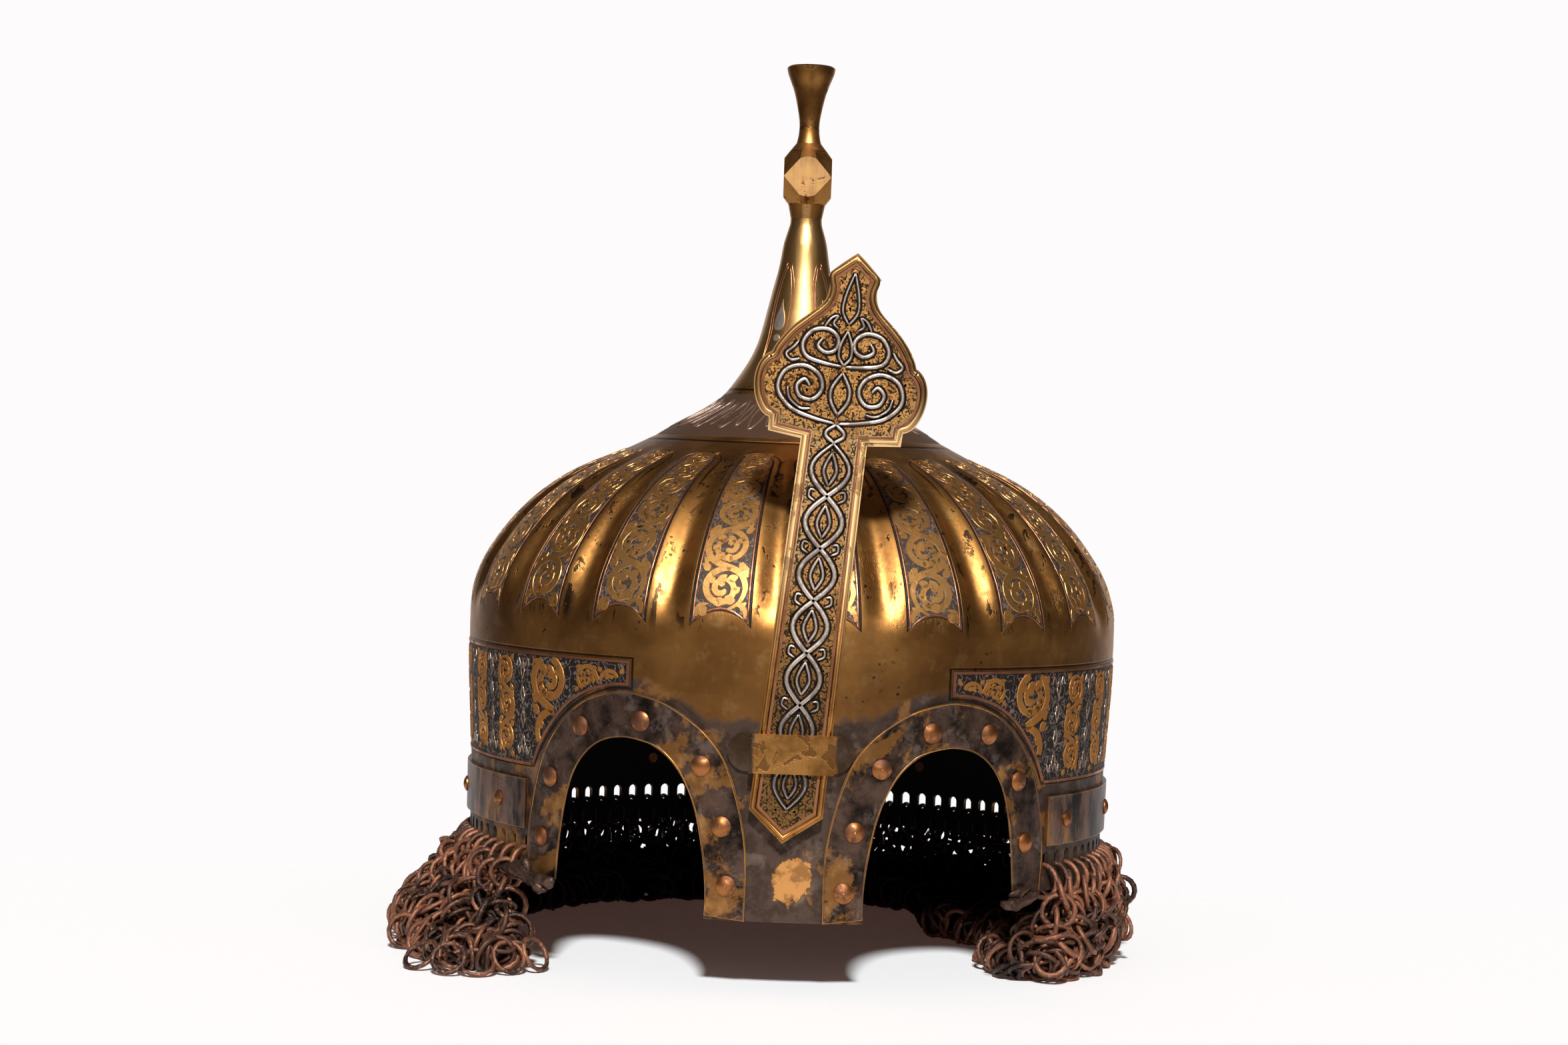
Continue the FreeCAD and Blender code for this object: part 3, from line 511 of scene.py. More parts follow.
def patina_finish(name, shift, streak=(1.0, 1.0, 1.0), gold_cover=0.34, base=PATINA):
    """Dark grey-brown patina over brass, with golden streaks and bright edges."""
    material, tree, shader, place = new_finish(name)
    moved = stretched(tree, place, streak, (0.0, 0.0, 0.0), (shift, shift * 0.7, 0.0))
    by_nose = axes(tree, place)[0].size().fall(0.018, 0.034)
    cover = by_nose * 0.08 + gold_cover
    gold = stained(tree, moved, 42.0, cover, 0.035)
    cloud = noise(tree, moved, 90.0, 5.0, 0.65)
    dark = blend_colour(tree, cloud.rise(0.35, 0.65), BLACK_BROWN, base)
    pale = stained(tree, moved, 120.0, 0.34, 0.08)
    dark = blend_colour(tree, pale * 0.55, dark, PATINA_PALE)
    bright = blend_colour(tree, cloud.rise(0.45, 0.65), GOLD_DEEP, GOLD)
    colour = blend_colour(tree, gold * 0.7, dark, bright)
    specks = pitted(tree, place, 600.0, 0.44)
    colour = blend_colour(tree, specks * 0.6, colour, BLACK_BROWN)
    worn = use_group(tree, WEAR, {"Reach": 0.0006, "Strength": 1.0})
    colour = blend_colour(tree, worn, colour, GOLD)
    hair = scratched(tree, place, 900.0, 0.55)
    rough = cloud * 0.2 + 0.32 - worn * 0.1
    relief = cloud * 0.25 - specks * 0.3 - hair * 0.08 + gold * 0.1
    settle(tree, shader, colour, 0.9, rough, relief, 0.0003, 0.8)
    return material


def brass_finish(name, shift, dark_cover, size, pink=0.0, wings=False, pale=None, share=0.55, edges=False,
                 dull=0.30):
    """Worn golden brass with brown stains, specks and scratches; pale gives heights in metres from which and up to
    which a painted highlight makes it paler and duller."""
    material, tree, shader, place = new_finish(name)
    moved = stretched(tree, place, shift=(shift, 0.0, shift))
    x, _, z = axes(tree, place)
    cloud = noise(tree, moved, size, 4.0, 0.6)
    colour = blend_colour(tree, cloud.rise(0.36, 0.6), GOLD_DEEP, GOLD)
    stain = stained(tree, moved, size * 1.6, dark_cover, 0.03)
    colour = blend_colour(tree, stain * 0.85, colour, UMBER)
    specks = pitted(tree, place, 520.0, 0.42)
    colour = blend_colour(tree, specks * 0.8, colour, FLAKE)
    rough = cloud * 0.14 + dull + stain * 0.15
    if pale:
        highlight_band = z.rise(pale[0], pale[1]) * z.fall(pale[2], pale[3])
        if not edges:
            # the painted highlight lies only on the flat front of the knob, the side towards the lamp
            facing = axes(tree, put(tree, "ShaderNodeTexCoord").outputs["Normal"])[1]
            highlight_band = highlight_band * facing.fall(-0.97, -0.93)
        colour = blend_colour(tree, highlight_band * (1.0 - stain * 0.7) * share, colour, GOLD_HIGHLIGHT)
        rough = rough + highlight_band * share * 0.35
    if pink:
        colour = blend_colour(tree, stained(tree, moved, 130.0, pink, 0.04) * 0.8, colour, COPPER)
    if wings:
        beside = (x - 0.0018).size()
        wing = (beside + (cloud - 0.5) * 0.004).rise(0.0125, 0.0135)
        old = blend_colour(tree, cloud.rise(0.4, 0.6), GROUND, WING_GREY)
        colour = blend_colour(tree, wing * 0.9, colour, old)
    if edges:
        # rubbed edges, brightened only high on the bar: wear, and painted highlight there
        worn = use_group(tree, WEAR, {"Reach": 0.0009, "Strength": 1.2})
        colour = blend_colour(tree, worn * z.rise(0.09, 0.14), colour, GOLD_HIGHLIGHT)
    hair = scratched(tree, place, 1200.0, 0.55)
    relief = cloud * 0.15 - specks * 0.3 - hair * 0.1 - stain * 0.2
    settle(tree, shader, colour, 1.0, rough, relief, 0.0002, 0.8)
    return material


def simple_metal(name, bright, dull, size, rough, cover, metallic=1.0, shade_heights=None):
    """Small metal inlays: bright on top, dull in stains. The last argument gives heights in metres below and above
    which the piece is dark with painted shade and bright, as used on the nasal bar."""
    material, tree, shader, place = new_finish(name)
    stain = stained(tree, place, size, cover, 0.08)
    colour = blend_colour(tree, stain * 0.85, bright, dull)
    rough = stain * 0.2 + rough
    if shade_heights:
        # painted shade: darker below these heights
        level = axes(tree, place)[2].rise(*shade_heights)
        shaded = blend_colour(tree, 0.55, colour, BLACK_BROWN)
        colour = blend_colour(tree, level, shaded, colour)
        rough = rough + level * 0.12
    grain = noise(tree, place, 900.0, 3.0, 0.6)
    settle(tree, shader, colour, metallic, rough, grain, 0.00006, 0.6)
    return material


def chased_ground():
    """Golden ground cut through by fine dark winding lines, with a painted highlight high on the bar and painted
    shade towards the bar's foot.
    """
    material, tree, shader, place = new_finish("Chased ground of the nasal bar")
    cut = None
    for size, shift in ((340.0, 0.0), (480.0, 2.0)):
        winding = stretched(tree, place, shift=(shift, shift, 0.0))
        value = noise(tree, winding, size, 1.0, 0.4, 0.8)
        line = (value - 0.5).size().fall(0.022, 0.042)
        cut = line if cut is None else cut.most(line)
    stain = stained(tree, place, 90.0, 0.42, 0.08)
    gold = blend_colour(tree, stain * 0.75, VINE_BRIGHT, BAR_GROUND)
    z = axes(tree, place)[2]
    # painted highlight: a pale band high on the bar
    gold = blend_colour(tree, z.rise(0.12, 0.15) * z.fall(0.165, 0.195) * 0.85, gold, GOLD_HIGHLIGHT)
    colour = blend_colour(tree, cut * 0.9, gold, BLACK_BROWN)
    # painted shade towards the bar's foot
    level = z.rise(0.085, 0.135)
    shaded = blend_colour(tree, 0.6, colour, BLACK_BROWN)
    colour = blend_colour(tree, level, shaded, colour)
    settle(tree, shader, colour, 0.95, stain * 0.1 + 0.40, cut * -1.0, 0.0002, 0.9)
    return material


def rust_finish(name, share):
    """Brown iron rust with darker and lighter bloom; share says how far painted shade darkens it."""
    material, tree, shader, place = new_finish(name)
    broad = noise(tree, place, 60.0, 3.0, 0.6)
    fine = noise(tree, place, 700.0, 4.0, 0.7)
    colour = blend_colour(tree, broad.rise(0.35, 0.6), RUST_DARK, RUST)
    colour = blend_colour(tree, fine.rise(0.5, 0.7) * 0.7, colour, RUST_LIGHT)
    colour = blend_colour(tree, share, colour, BLACK_BROWN)
    # the side of the heap that faces inward at the back is painted black as shade
    x, y, _ = axes(tree, place)
    inward = (x * x + y * y).root().fall(0.1125, 0.1185) * y.rise(0.0, 0.04)
    colour = blend_colour(tree, inward * 0.93, colour, SHADE_BLACK)
    settle(tree, shader, colour, 0.5, fine * 0.25 + 0.40, fine, 0.00025, 0.9)
    return material


BOWL_BRASS = bowl_finish()
# pale places a painted highlight: the knob's front facet on the finial, a band high on the bar
FINIAL_BRASS = brass_finish("Finial brass", 0.0, 0.36, 70.0, pink=0.26, pale=(0.245, 0.250, 0.275, 0.280),
                            share=0.34, dull=0.33)
BAR_BRASS = brass_finish("Nasal bar brass", 0.3, 0.30, 40.0, pale=(0.115, 0.15, 0.172, 0.195), share=0.8,
                         edges=True)
BRACKET_BRASS = brass_finish("Bracket brass", 0.7, 0.38, 80.0, wings=True)
LEFT_PLATE = patina_finish("Left eye plate patina", 0.0)
RIGHT_PLATE = patina_finish("Right eye plate patina", 0.31, (1.0, 1.0, 1.0), 0.40)
STRAP_PATINA = patina_finish("Rim strap patina", 0.12, (1.0, 1.0, 0.35), 0.36, STRAP_BROWN)
RIVET_COPPER = simple_metal("Copper rivets", COPPER_WORN, COPPER_DARK, 120.0, 0.42, 0.50)
LINE_COPPER = simple_metal("Copper lines", COPPER, COPPER_DULL, 90.0, 0.34, 0.5)
VINE_GOLD = simple_metal("Raised golden vine", VINE_DOME, GOLD_DEEP, 60.0, 0.46, 0.34)
CURL_GOLD = simple_metal("Golden curls of the nasal bar", VINE_BRIGHT, GOLD_DEEP, 90.0, 0.36, 0.42,
                         shade_heights=(0.085, 0.135))
BAND_GOLD = simple_metal("Raised vine of the side bands", GOLD, GOLD_DEEP, 90.0, 0.50, 0.62)
BAND_GREY = simple_metal("Grey reeds of the side bands", REED_SILVER, PATINA, 60.0, 0.40, 0.50)
EDGE_GOLD = simple_metal("Bright plate edges", GOLD, PATINA, 34.0, 0.34, 0.56)
LINE_SILVER = simple_metal("Silver wire", SILVER, SILVER_DULL, 170.0, 0.32, 0.46, shade_heights=(0.07, 0.125))
GROOVE = simple_metal("Dark grooves beside the silver", BLACK_BROWN, FLAKE, 120.0, 0.5, 0.5)
NECK_SILVER = simple_metal("Worn silver of the neck", SILVER_WORN, COPPER_DARK, 70.0, 0.40, 0.40)
CHASED_GROUND = chased_ground()
SOLDER = simple_metal("Broken old metal", PATINA, FLAKE, 150.0, 0.52, 0.52, 0.95)
IRON_RUST = rust_finish("Rusty iron", 0.0)
SHADED_RUST = rust_finish("Iron rust in painted shade", 0.66)


# ---------------------------------------------------------------- surfaces to lay ornament on

def surface_of(node):
    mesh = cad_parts[node].data
    points = [vertex.co.copy() for vertex in mesh.vertices]
    return BVHTree.FromPolygons(points, [tuple(face.vertices) for face in mesh.polygons])


BOWL_SURFACE = surface_of("skull")


def directions(angle):
    """Level unit vectors at an angle from the front: away from the axis, and round it."""
    turn = math.radians(angle)
    return Vector((math.sin(turn), -math.cos(turn), 0.0)), Vector((math.cos(turn), math.sin(turn), 0.0))


def on_bowl(angle, height):
    """The point and outward normal of the bowl at an angle from the front and a height in mm."""
    out, _ = directions(angle)
    level = UP * (height * MM)
    point, normal, _, _ = BOWL_SURFACE.ray_cast(out * FRONT_REACH + level, -out)
    if point is None:
        return out * (WALL_RADIUS * MM) + level, out
    return point, normal


def bowl_radius(angle, height):
    point, _ = on_bowl(angle, height)
    return math.hypot(point.x, point.y) / MM


def from_front(surface, x, z):
    """The point and normal of a surface straight behind a point of the front view, in mm."""
    point, normal, _, _ = surface.ray_cast(Vector((x * MM, -FRONT_REACH, z * MM)), Vector((0.0, 1.0, 0.0)))
    return point, normal


def on_bar(across, along, lift=0.0):
    """The point and normal of the nasal bar's face, in its own leaning frame."""
    x = BAR_TIP_X + across * math.cos(BAR_LEAN) + along * math.sin(BAR_LEAN)
    z = BAR_TIP_Z - across * math.sin(BAR_LEAN) + along * math.cos(BAR_LEAN)
    return Vector((x, BAR_FACE_Y - lift, z)) * MM, Vector((0.0, -1.0, 0.0))


class PanelMap:
    """Lengths along the middle line of one panel of the dome, and what height and radius they reach."""

    def __init__(self):
        self.heights = [PROFILE_FOOT + step * PROFILE_STEP for step in range(131)]
        self.radii = [bowl_radius(PANEL_FIRST, height) for height in self.heights]
        self.lengths = [0.0]
        for index in range(1, len(self.heights)):
            run = math.hypot(self.radii[index] - self.radii[index - 1], self.heights[index] - self.heights[index - 1])
            self.lengths.append(self.lengths[-1] + run)

    def height(self, length):
        return float(np.interp(length, self.lengths, self.heights))

    def radius(self, length):
        return float(np.interp(length, self.lengths, self.radii))

    def length_at_height(self, height):
        return float(np.interp(height, self.heights, self.lengths))

    def length_at_radius(self, radius):
        return float(np.interp(-radius, [-value for value in self.radii], self.lengths))

    def place(self, centre_angle):
        """Turns millimetres across and along a panel into a point and normal."""
        def spot(across, along):
            radius = self.radius(along)
            return on_bowl(centre_angle + math.degrees(across / radius), self.height(along))
        return spot


PANEL = PanelMap()


# ---------------------------------------------------------------- drawn strokes

def smooth(points, steps=6, closed=False):
    """A smooth line through the given points."""
    points = [Vector((x, y, 0.0)) for x, y in points]
    count = len(points)
    line = []
    for index in range(count if closed else count - 1):
        before = points[index - 1] if index > 0 or closed else points[0]
        here = points[index]
        there = points[(index + 1) % count]
        after = points[(index + 2) % count] if index + 2 < count or closed else points[-1]
        first = here + (there - before) / 6
        second = there - (after - here) / 6
        piece = interpolate_bezier(here, first, second, there, steps + 1)
        line += [(spot.x, spot.y) for spot in piece[:-1]]
    if not closed:
        line.append((points[-1].x, points[-1].y))
    return line


def tapered(points, start, end, tip=0.35):
    """A stroke whose width goes from start to end, narrowed at both tips."""
    count = len(points)
    widths = []
    for index in range(count):
        share = index / (count - 1)
        width = start + (end - start) * share
        near_end = min(index, count - 1 - index) / max(count * 0.12, 1.0)
        widths.append(width * min(1.0, tip + (1 - tip) * near_end))
    return points, widths


def curl(centre, radius, start, sweep, shrink, width, end_width, steps):
    """A stroke that winds inwards round a centre; angles in degrees."""
    points = []
    for index in range(steps + 1):
        share = index / steps
        turn = math.radians(start + sweep * share)
        reach = radius * (1 + (shrink - 1) * share ** 0.8)
        points.append((centre[0] + reach * math.cos(turn), centre[1] + reach * math.sin(turn)))
    return tapered(points, width, end_width)


def leaf(root, tip, bend, width, steps=6):
    """A leaf from root to tip, bowed sideways, widest a third of the way along."""
    dx, dy = tip[0] - root[0], tip[1] - root[1]
    points = []
    widths = []
    for index in range(steps + 1):
        share = index / steps
        bow = bend * math.sin(math.pi * share)
        points.append((root[0] + dx * share - dy * bow, root[1] + dy * share + dx * bow))
        widths.append(max(width * math.sin(math.pi * min(share * 0.85 + 0.12, 1.0)) ** 0.7, width * 0.12))
    return points, widths


def flipped(strokes):
    return [([(-x, y) for x, y in points], widths) for points, widths in strokes]


def moved(strokes, dx, dy, size=1.0):
    return [([(dx + x * size, dy + y * size) for x, y in points], [width * size for width in widths])
            for points, widths in strokes]


def coil_motif(rng):
    """One curl of a vine, for a circle of radius 1 about the origin, with its stem on the right."""
    # the last two draws shape nothing; they keep the draws that follow as they are
    wob = [rng.uniform(-0.05, 0.05) for _ in range(6)]
    return [curl((0, 0), 1.0, 62, 395, 0.40 + wob[0], 0.26, 0.20, 30),
            curl((-0.05, -0.02), 0.42, 95, 250 + 200 * wob[1], 0.35, 0.24, 0.20, 12),
            leaf((0.30, 0.22), (0.62, 0.52), 0.25, 0.34),
            leaf((0.38, -0.05), (0.74, 0.02 + wob[2]), -0.2, 0.30),
            leaf((0.25, -0.32), (0.60, -0.52), -0.3, 0.34),
            leaf((-0.38, 0.34), (-0.56, 0.60 + wob[3]), 0.3, 0.28),
            leaf((-0.12, -0.42), (-0.30, -0.76), 0.3, 0.30),
            leaf((0.02, 0.10), (0.12, 0.62), 0.35, 0.30)]


def vine(start, end, half_at, rng, side=1, fill=0.93, pitch=1.06, thick=1.45):
    """A wavy stem with a curl in each bend. half_at gives the free half width at a length."""
    coils = []
    along = start
    while True:
        radius = fill * half_at(along + fill * half_at(along))
        if along + 2 * radius > end + 0.35 * radius:
            break
        coils.append((along + radius, radius, side))
        along += 2 * radius * pitch
        side = -side
    if not coils:
        return []
    stem = []
    for centre, radius, turn in coils:
        for degrees in (-72, -38, 0, 38, 66):
            angle = math.radians(degrees)
            stem.append((turn * radius * math.cos(angle), centre + radius * math.sin(angle)))
    strokes = [tapered(smooth(stem, 4), coils[0][1] * 0.27 * thick, coils[-1][1] * 0.27 * thick)]
    for centre, radius, turn in coils:
        motif = coil_motif(rng)
        motif += [leaf((1.0, 1.02), (1.06, 0.55), -0.2, 0.22), leaf((-0.72, -0.85), (-1.08, -1.12), 0.25, 0.30),
                  leaf((-0.80, 0.78), (-1.06, 1.12), -0.25, 0.28), leaf((0.95, -0.98), (1.10, -0.62), 0.2, 0.2)]
        if turn < 0:
            motif = flipped(motif)
        motif = [(points, [width * thick for width in widths]) for points, widths in motif]
        strokes += moved(motif, 0.0, centre, radius)
    return strokes


class Relief:
    """Raised lines laid on a surface and kept in one mesh; crown is the share of a line's width on top."""

    def __init__(self, crown=0.5, soft=True):
        self.points = []
        self.faces = []
        self.crown = crown
        self.soft = soft

    def stroke(self, spots, widths, height, closed=False):
        """One raised line through (point, normal) spots; widths and height in mm."""
        count = len(spots)
        base = len(self.points)
        for index, (point, normal) in enumerate(spots):
            before = spots[index - 1][0] if index > 0 or closed else point
            after = spots[(index + 1) % count][0] if index + 1 < count or closed else point
            along = after - before
            if along.length < 1e-9:
                along = UP
            across = normal.cross(along).normalized()
            half = widths[index] * 0.5 * MM
            low = point - normal * (STROKE_SINK * MM)
            top = point + normal * (height * MM)
            crown = half * self.crown
            self.points += [low - across * half, top - across * crown, top + across * crown,
                            low + across * half]
        for index in range(count if closed else count - 1):
            here = base + index * 4
            there = base + ((index + 1) % count) * 4
            for side in range(4):
                other = (side + 1) % 4
                self.faces.append((here + side, here + other, there + other, there + side))
        if not closed:
            self.faces.append((base + 3, base + 2, base + 1, base))
            end = base + (count - 1) * 4
            self.faces.append((end, end + 1, end + 2, end + 3))

    def draw(self, strokes, place, height, closed=False):
        for points, widths in strokes:
            self.stroke([place(x, y) for x, y in points], widths, height, closed)

    def finish(self, name, material, body):
        piece = solid_piece(name, self.points, self.faces, material, self.soft)
        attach(piece, body)


def solid_piece(name, points, faces, material, soft=False):
    """A mesh object at the origin with its faces turned outwards, shaded smooth where soft."""
    mesh = bpy.data.meshes.new(name)
    mesh.from_pydata([tuple(point) for point in points], [], faces)
    if mesh.validate():
        mesh.update()
    shape = bmesh.new()
    shape.from_mesh(mesh)
    bmesh.ops.recalc_face_normals(shape, faces=shape.faces)
    shape.to_mesh(mesh)
    shape.free()
    for face in mesh.polygons:
        face.use_smooth = soft
    mesh.materials.append(material)
    piece = bpy.data.objects.new(name, mesh)
    bpy.context.scene.collection.objects.link(piece)
    return piece


def even(points, width):
    return points, [width] * len(points)


def inset(points, amount):
    """A closed outline drawn in by an amount; points run counter-clockwise."""
    count = len(points)
    result = []
    for index in range(count):
        ax, ay = points[index - 1]
        bx, by = points[index]
        cx, cy = points[(index + 1) % count]
        first = Vector((bx - ax, by - ay)).normalized()
        second = Vector((cx - bx, cy - by)).normalized()
        n1 = Vector((-first.y, first.x))
        n2 = Vector((-second.y, second.x))
        move = (n1 + n2) * (amount / max(1 + n1.dot(n2), 0.3))
        result.append((bx + move.x, by + move.y))
    return result


# ---------------------------------------------------------------- the dome's panels

def panel_strokes(rng):
    """Vine of one panel, in millimetres across and along."""
    start = PANEL.length_at_height(PANEL_FOOT_Z + 2.2)
    end = PANEL.length_at_radius(PANEL_CROWN_RADIUS - 5.0)
    inner = math.tan(math.radians(PANEL_HALF - 1.0))
    strokes = vine(start + 3.0, end, lambda along: PANEL.radius(along) * inner, rng)
    half = PANEL.radius(start) * inner
    strokes += [leaf((-half, start + 0.8), (-half + 4.0, start + 5.0), 0.3, 1.9),
                leaf((half, start + 0.8), (half - 4.0, start + 5.0), -0.3, 1.9)]
    return strokes


def panel_border():
    """Closed outline of one panel, a little inside its edge, as millimetres across and along."""
    tangent = math.tan(math.radians(PANEL_HALF))
    foot = PANEL.length_at_height(PANEL_FOOT_Z) + BORDER_MARGIN * 1.3
    crown = PANEL.length_at_radius(PANEL_CROWN_RADIUS)
    side = []
    for step in range(15):
        along = foot + (crown - foot) * step / 14
        side.append((PANEL.radius(along) * tangent - BORDER_MARGIN, along))
    crown_half = PANEL_CROWN_RADIUS * tangent - BORDER_MARGIN
    half = side[0][0]
    arch, bottom = [], []
    for step in range(1, 8):
        turn = math.pi * step / 8
        arch.append((crown_half * math.cos(turn), crown + crown_half * math.sin(turn)))
        share = -1 + 2 * step / 8
        bottom.append((half * share, foot + (1 - share * share) * (PANEL_FOOT_RISE - 0.4)))
    return side + arch + [(-x, along) for x, along in reversed(side)] + bottom


def dome_panels():
    vines = Relief(0.82, False)
    borders = Relief()
    border = panel_border()
    for index in range(PANEL_COUNT):
        rng = random.Random(40 + index)
        place = PANEL.place(PANEL_FIRST + PANEL_PITCH * index)
        strokes = panel_strokes(rng)
        # every second vine is turned over, except the last one beside the front
        if index % 2 and index != PANEL_COUNT - 1:
            strokes = flipped(strokes)
        vines.draw(strokes, place, 0.18)
        borders.draw([even(border, 0.95)], place, 0.14, closed=True)
    vines.finish("dome_vine_relief", VINE_GOLD, "helmet")
    borders.finish("panel_copper_borders", LINE_COPPER, "helmet")


dome_panels()


# ---------------------------------------------------------------- the side bands

def band_place(arc, height):
    return on_bowl(math.degrees(arc / WALL_RADIUS), height)


def off_eye_plate(arc, height, margin):
    """How far a place lies outside the eye plates' outline, in mm."""
    turn = arc / WALL_RADIUS
    if math.cos(turn) < 0:
        return 99.0
    x = abs(WALL_RADIUS * math.sin(turn))
    reach = math.hypot((x - PLATE_X) / (PLATE_HALF_WIDE + margin), (height - PLATE_Z) / (PLATE_HALF_HIGH + margin))
    return (reach - 1.0) * PLATE_SCALE


def keep_on_band(strokes):
    """Drops what would run over the eye plates or past the ends of the bands."""
    kept = []
    for points, widths in strokes:
        run, wide = [], []
        for (arc, height), width in zip(points, widths):
            inside = BAND_FOOT + 1.6 < height < BAND_TOP - 1.6
            inside = inside and BAND_START + 2.0 < arc < WALL_ROUND - BAND_START - 2.0
            if inside and off_eye_plate(arc, height, 1.8) > 1.7:
                run.append((arc, height))
                wide.append(width)
            else:
                if len(run) > 3:
                    kept.append((run, wide))
                run, wide = [], []
        if len(run) > 3:
            kept.append((run, wide))
    return kept


def vine_cell(rng, width):
    """One upright field of vine, from 0 to its width, between the band's edges."""
    strokes = vine(BAND_LOW, BAND_HIGH, lambda along: width / 2, rng, rng.choice((1, -1)), 0.93, 1.12)
    return moved(strokes, width / 2, 0.0)


def reed_cell(width):
    """One upright field of four reeds, arched in pairs at both ends, with a row of lozenges between them."""
    strokes = []
    for x in (0.10, 0.34, 0.66, 0.90):
        reed = [(width * x, level) for level in (BAND_LOW + 3.0, (BAND_LOW + BAND_HIGH) / 2, BAND_HIGH - 3.0)]
        strokes.append(even(reed, 1.2))
    for left, right in ((0.10, 0.34), (0.66, 0.90)):
        for end, inner in ((BAND_LOW + 0.4, BAND_LOW + 3.0), (BAND_HIGH - 0.4, BAND_HIGH - 3.0)):
            arch = [(width * left, inner), (width * (left + right) / 2, end), (width * right, inner)]
            strokes.append(even(smooth(arch, 4), 1.1))
    half = width / 2
    reach = (BAND_HIGH - BAND_LOW) / LOZENGES / 2
    for index in range(LOZENGES):
        level = BAND_LOW + reach * (2 * index + 1)
        strokes.append(even([(half - 1.1, level), (half, level + reach * 0.8), (half + 1.1, level),
                             (half, level - reach * 0.8), (half - 1.1, level)], 0.9))
    return strokes


def side_bands():
    golden = Relief(0.8, False)
    grey = Relief()
    rng = random.Random(7)
    for sign in (1, -1):
        arc = BAND_START + 3.0
        order = 0
        while arc < WALL_ROUND / 2:
            # the front is all vine; behind it reeds and vines take turns
            leafy = order < 2 or order % 2 == 1
            if order == 0:
                # the narrow front end holds a lying vine
                width = FRONT_CELL
                strokes = vine(0.0, width, lambda along: FRONT_VINE_HALF, rng, 1, 0.9, 1.15)
                strokes = [([(arc + y, FRONT_VINE_Z - x) for x, y in points], widths)
                           for points, widths in strokes]
            else:
                width = CORNER_CELL if order == 1 else VINE_CELL if leafy else REED_CELL
                strokes = moved(vine_cell(rng, width) if leafy else reed_cell(width), arc, 0.0)
            if sign < 0:
                strokes = [([(WALL_ROUND - a, z) for a, z in points], widths) for points, widths in strokes]
            if leafy:
                golden.draw(keep_on_band(strokes), band_place, 0.2)
            else:
                grey.draw(keep_on_band(strokes), band_place, 0.28)
            arc += width + BAND_GAP
            order += 1
    golden.finish("side_band_vine_relief", BAND_GOLD, "helmet")
    grey.finish("side_band_bar_relief", BAND_GREY, "helmet")


side_bands()


# ---------------------------------------------------------------- the neck

def neck_band():
    """A silver frieze round the foot of the neck: closed lancets, wide and narrow in turn."""
    strokes = []
    for index in range(round(360.0 / LANCET_UNIT)):
        for centre, half, low, high, width in ((index + 0.5, 3.2, 179.0, 188.9, 1.5),
                                               (index, 1.9, 180.0, 187.9, 1.1)):
            angle = centre * LANCET_UNIT
            middle = (low + high) / 2
            lancet = [(angle, low), (angle + half, middle), (angle, high), (angle - half, middle)]
            strokes.append(even(smooth(lancet, 5, True), width))
    silver = Relief(0.7)
    silver.draw(strokes, on_bowl, 0.18, closed=True)
    silver.finish("neck_band_silver", NECK_SILVER, "helmet")


def neck_lancets():
    """Incised lancet frames round the silver drops."""
    lines = Relief()
    for index in range(DROP_COUNT):
        centre = DROP_FIRST + 360.0 / DROP_COUNT * index
        for margin, width in ((0.0, 0.45), (1.1, 0.35)):
            side = [(3.6, 199.0), (3.5 + margin * 0.5, 206.0), (2.9 + margin, 213.0), (3.2 + margin, 220.0),
                    (2.2 + margin, 229.0), (0.4 + margin * 0.4, 236.0 + margin)]
            for sign in (1, -1):
                points = [(centre + sign * math.degrees(across / bowl_radius(centre, height)), height)
                          for across, height in smooth(side, 4)]
                lines.draw([even(points, width)], on_bowl, 0.10)
    lines.finish("neck_incised_frames", LINE_COPPER, "helmet")


neck_band()
neck_lancets()


# ---------------------------------------------------------------- the nasal bar

def bar_outline():
    """The bar's outline counter-clockwise from the tip, smooth over the head."""
    head = smooth(BAR_SIDE[-1:] + BAR_HEAD_SIDE, 4)
    right = BAR_SIDE[:-1] + head
    left = [(-x, y) for x, y in reversed(right[1:-1])]
    return right + left


def flat_slab(name, right, lift, thickness, material):
    """A thin slab on the bar's face, even on both sides of its middle line; right is its right edge."""
    count = len(right)
    points = []
    for depth in (lift + thickness, lift):
        points += [on_bar(x, y, depth)[0] for x, y in right]
        points += [on_bar(-x, y, depth)[0] for x, y in right]
    faces = []
    for index in range(count - 1):
        other = index + 1
        faces.append((index, other, count + other, count + index))
        faces.append((2 * count + index, 3 * count + index, 3 * count + other, 2 * count + other))
        faces.append((index, 2 * count + index, 2 * count + other, other))
        faces.append((count + index, count + other, 3 * count + other, 3 * count + index))
    for end in (0, count - 1):
        faces.append((end, count + end, 3 * count + end, 2 * count + end))
    piece = solid_piece(name, points, faces, material)
    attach(piece, "nasal")


def inside_outline(outline, x, y):
    hit = False
    for index in range(len(outline)):
        ax, ay = outline[index - 1]
        bx, by = outline[index]
        if (ay > y) != (by > y) and x < (bx - ax) * (y - ay) / (by - ay) + ax:
            hit = not hit
    return hit


def mirrored_pair(points):
    """A line and its mirror image over the bar's middle line."""
    return [points, [(-x, y) for x, y in points]]


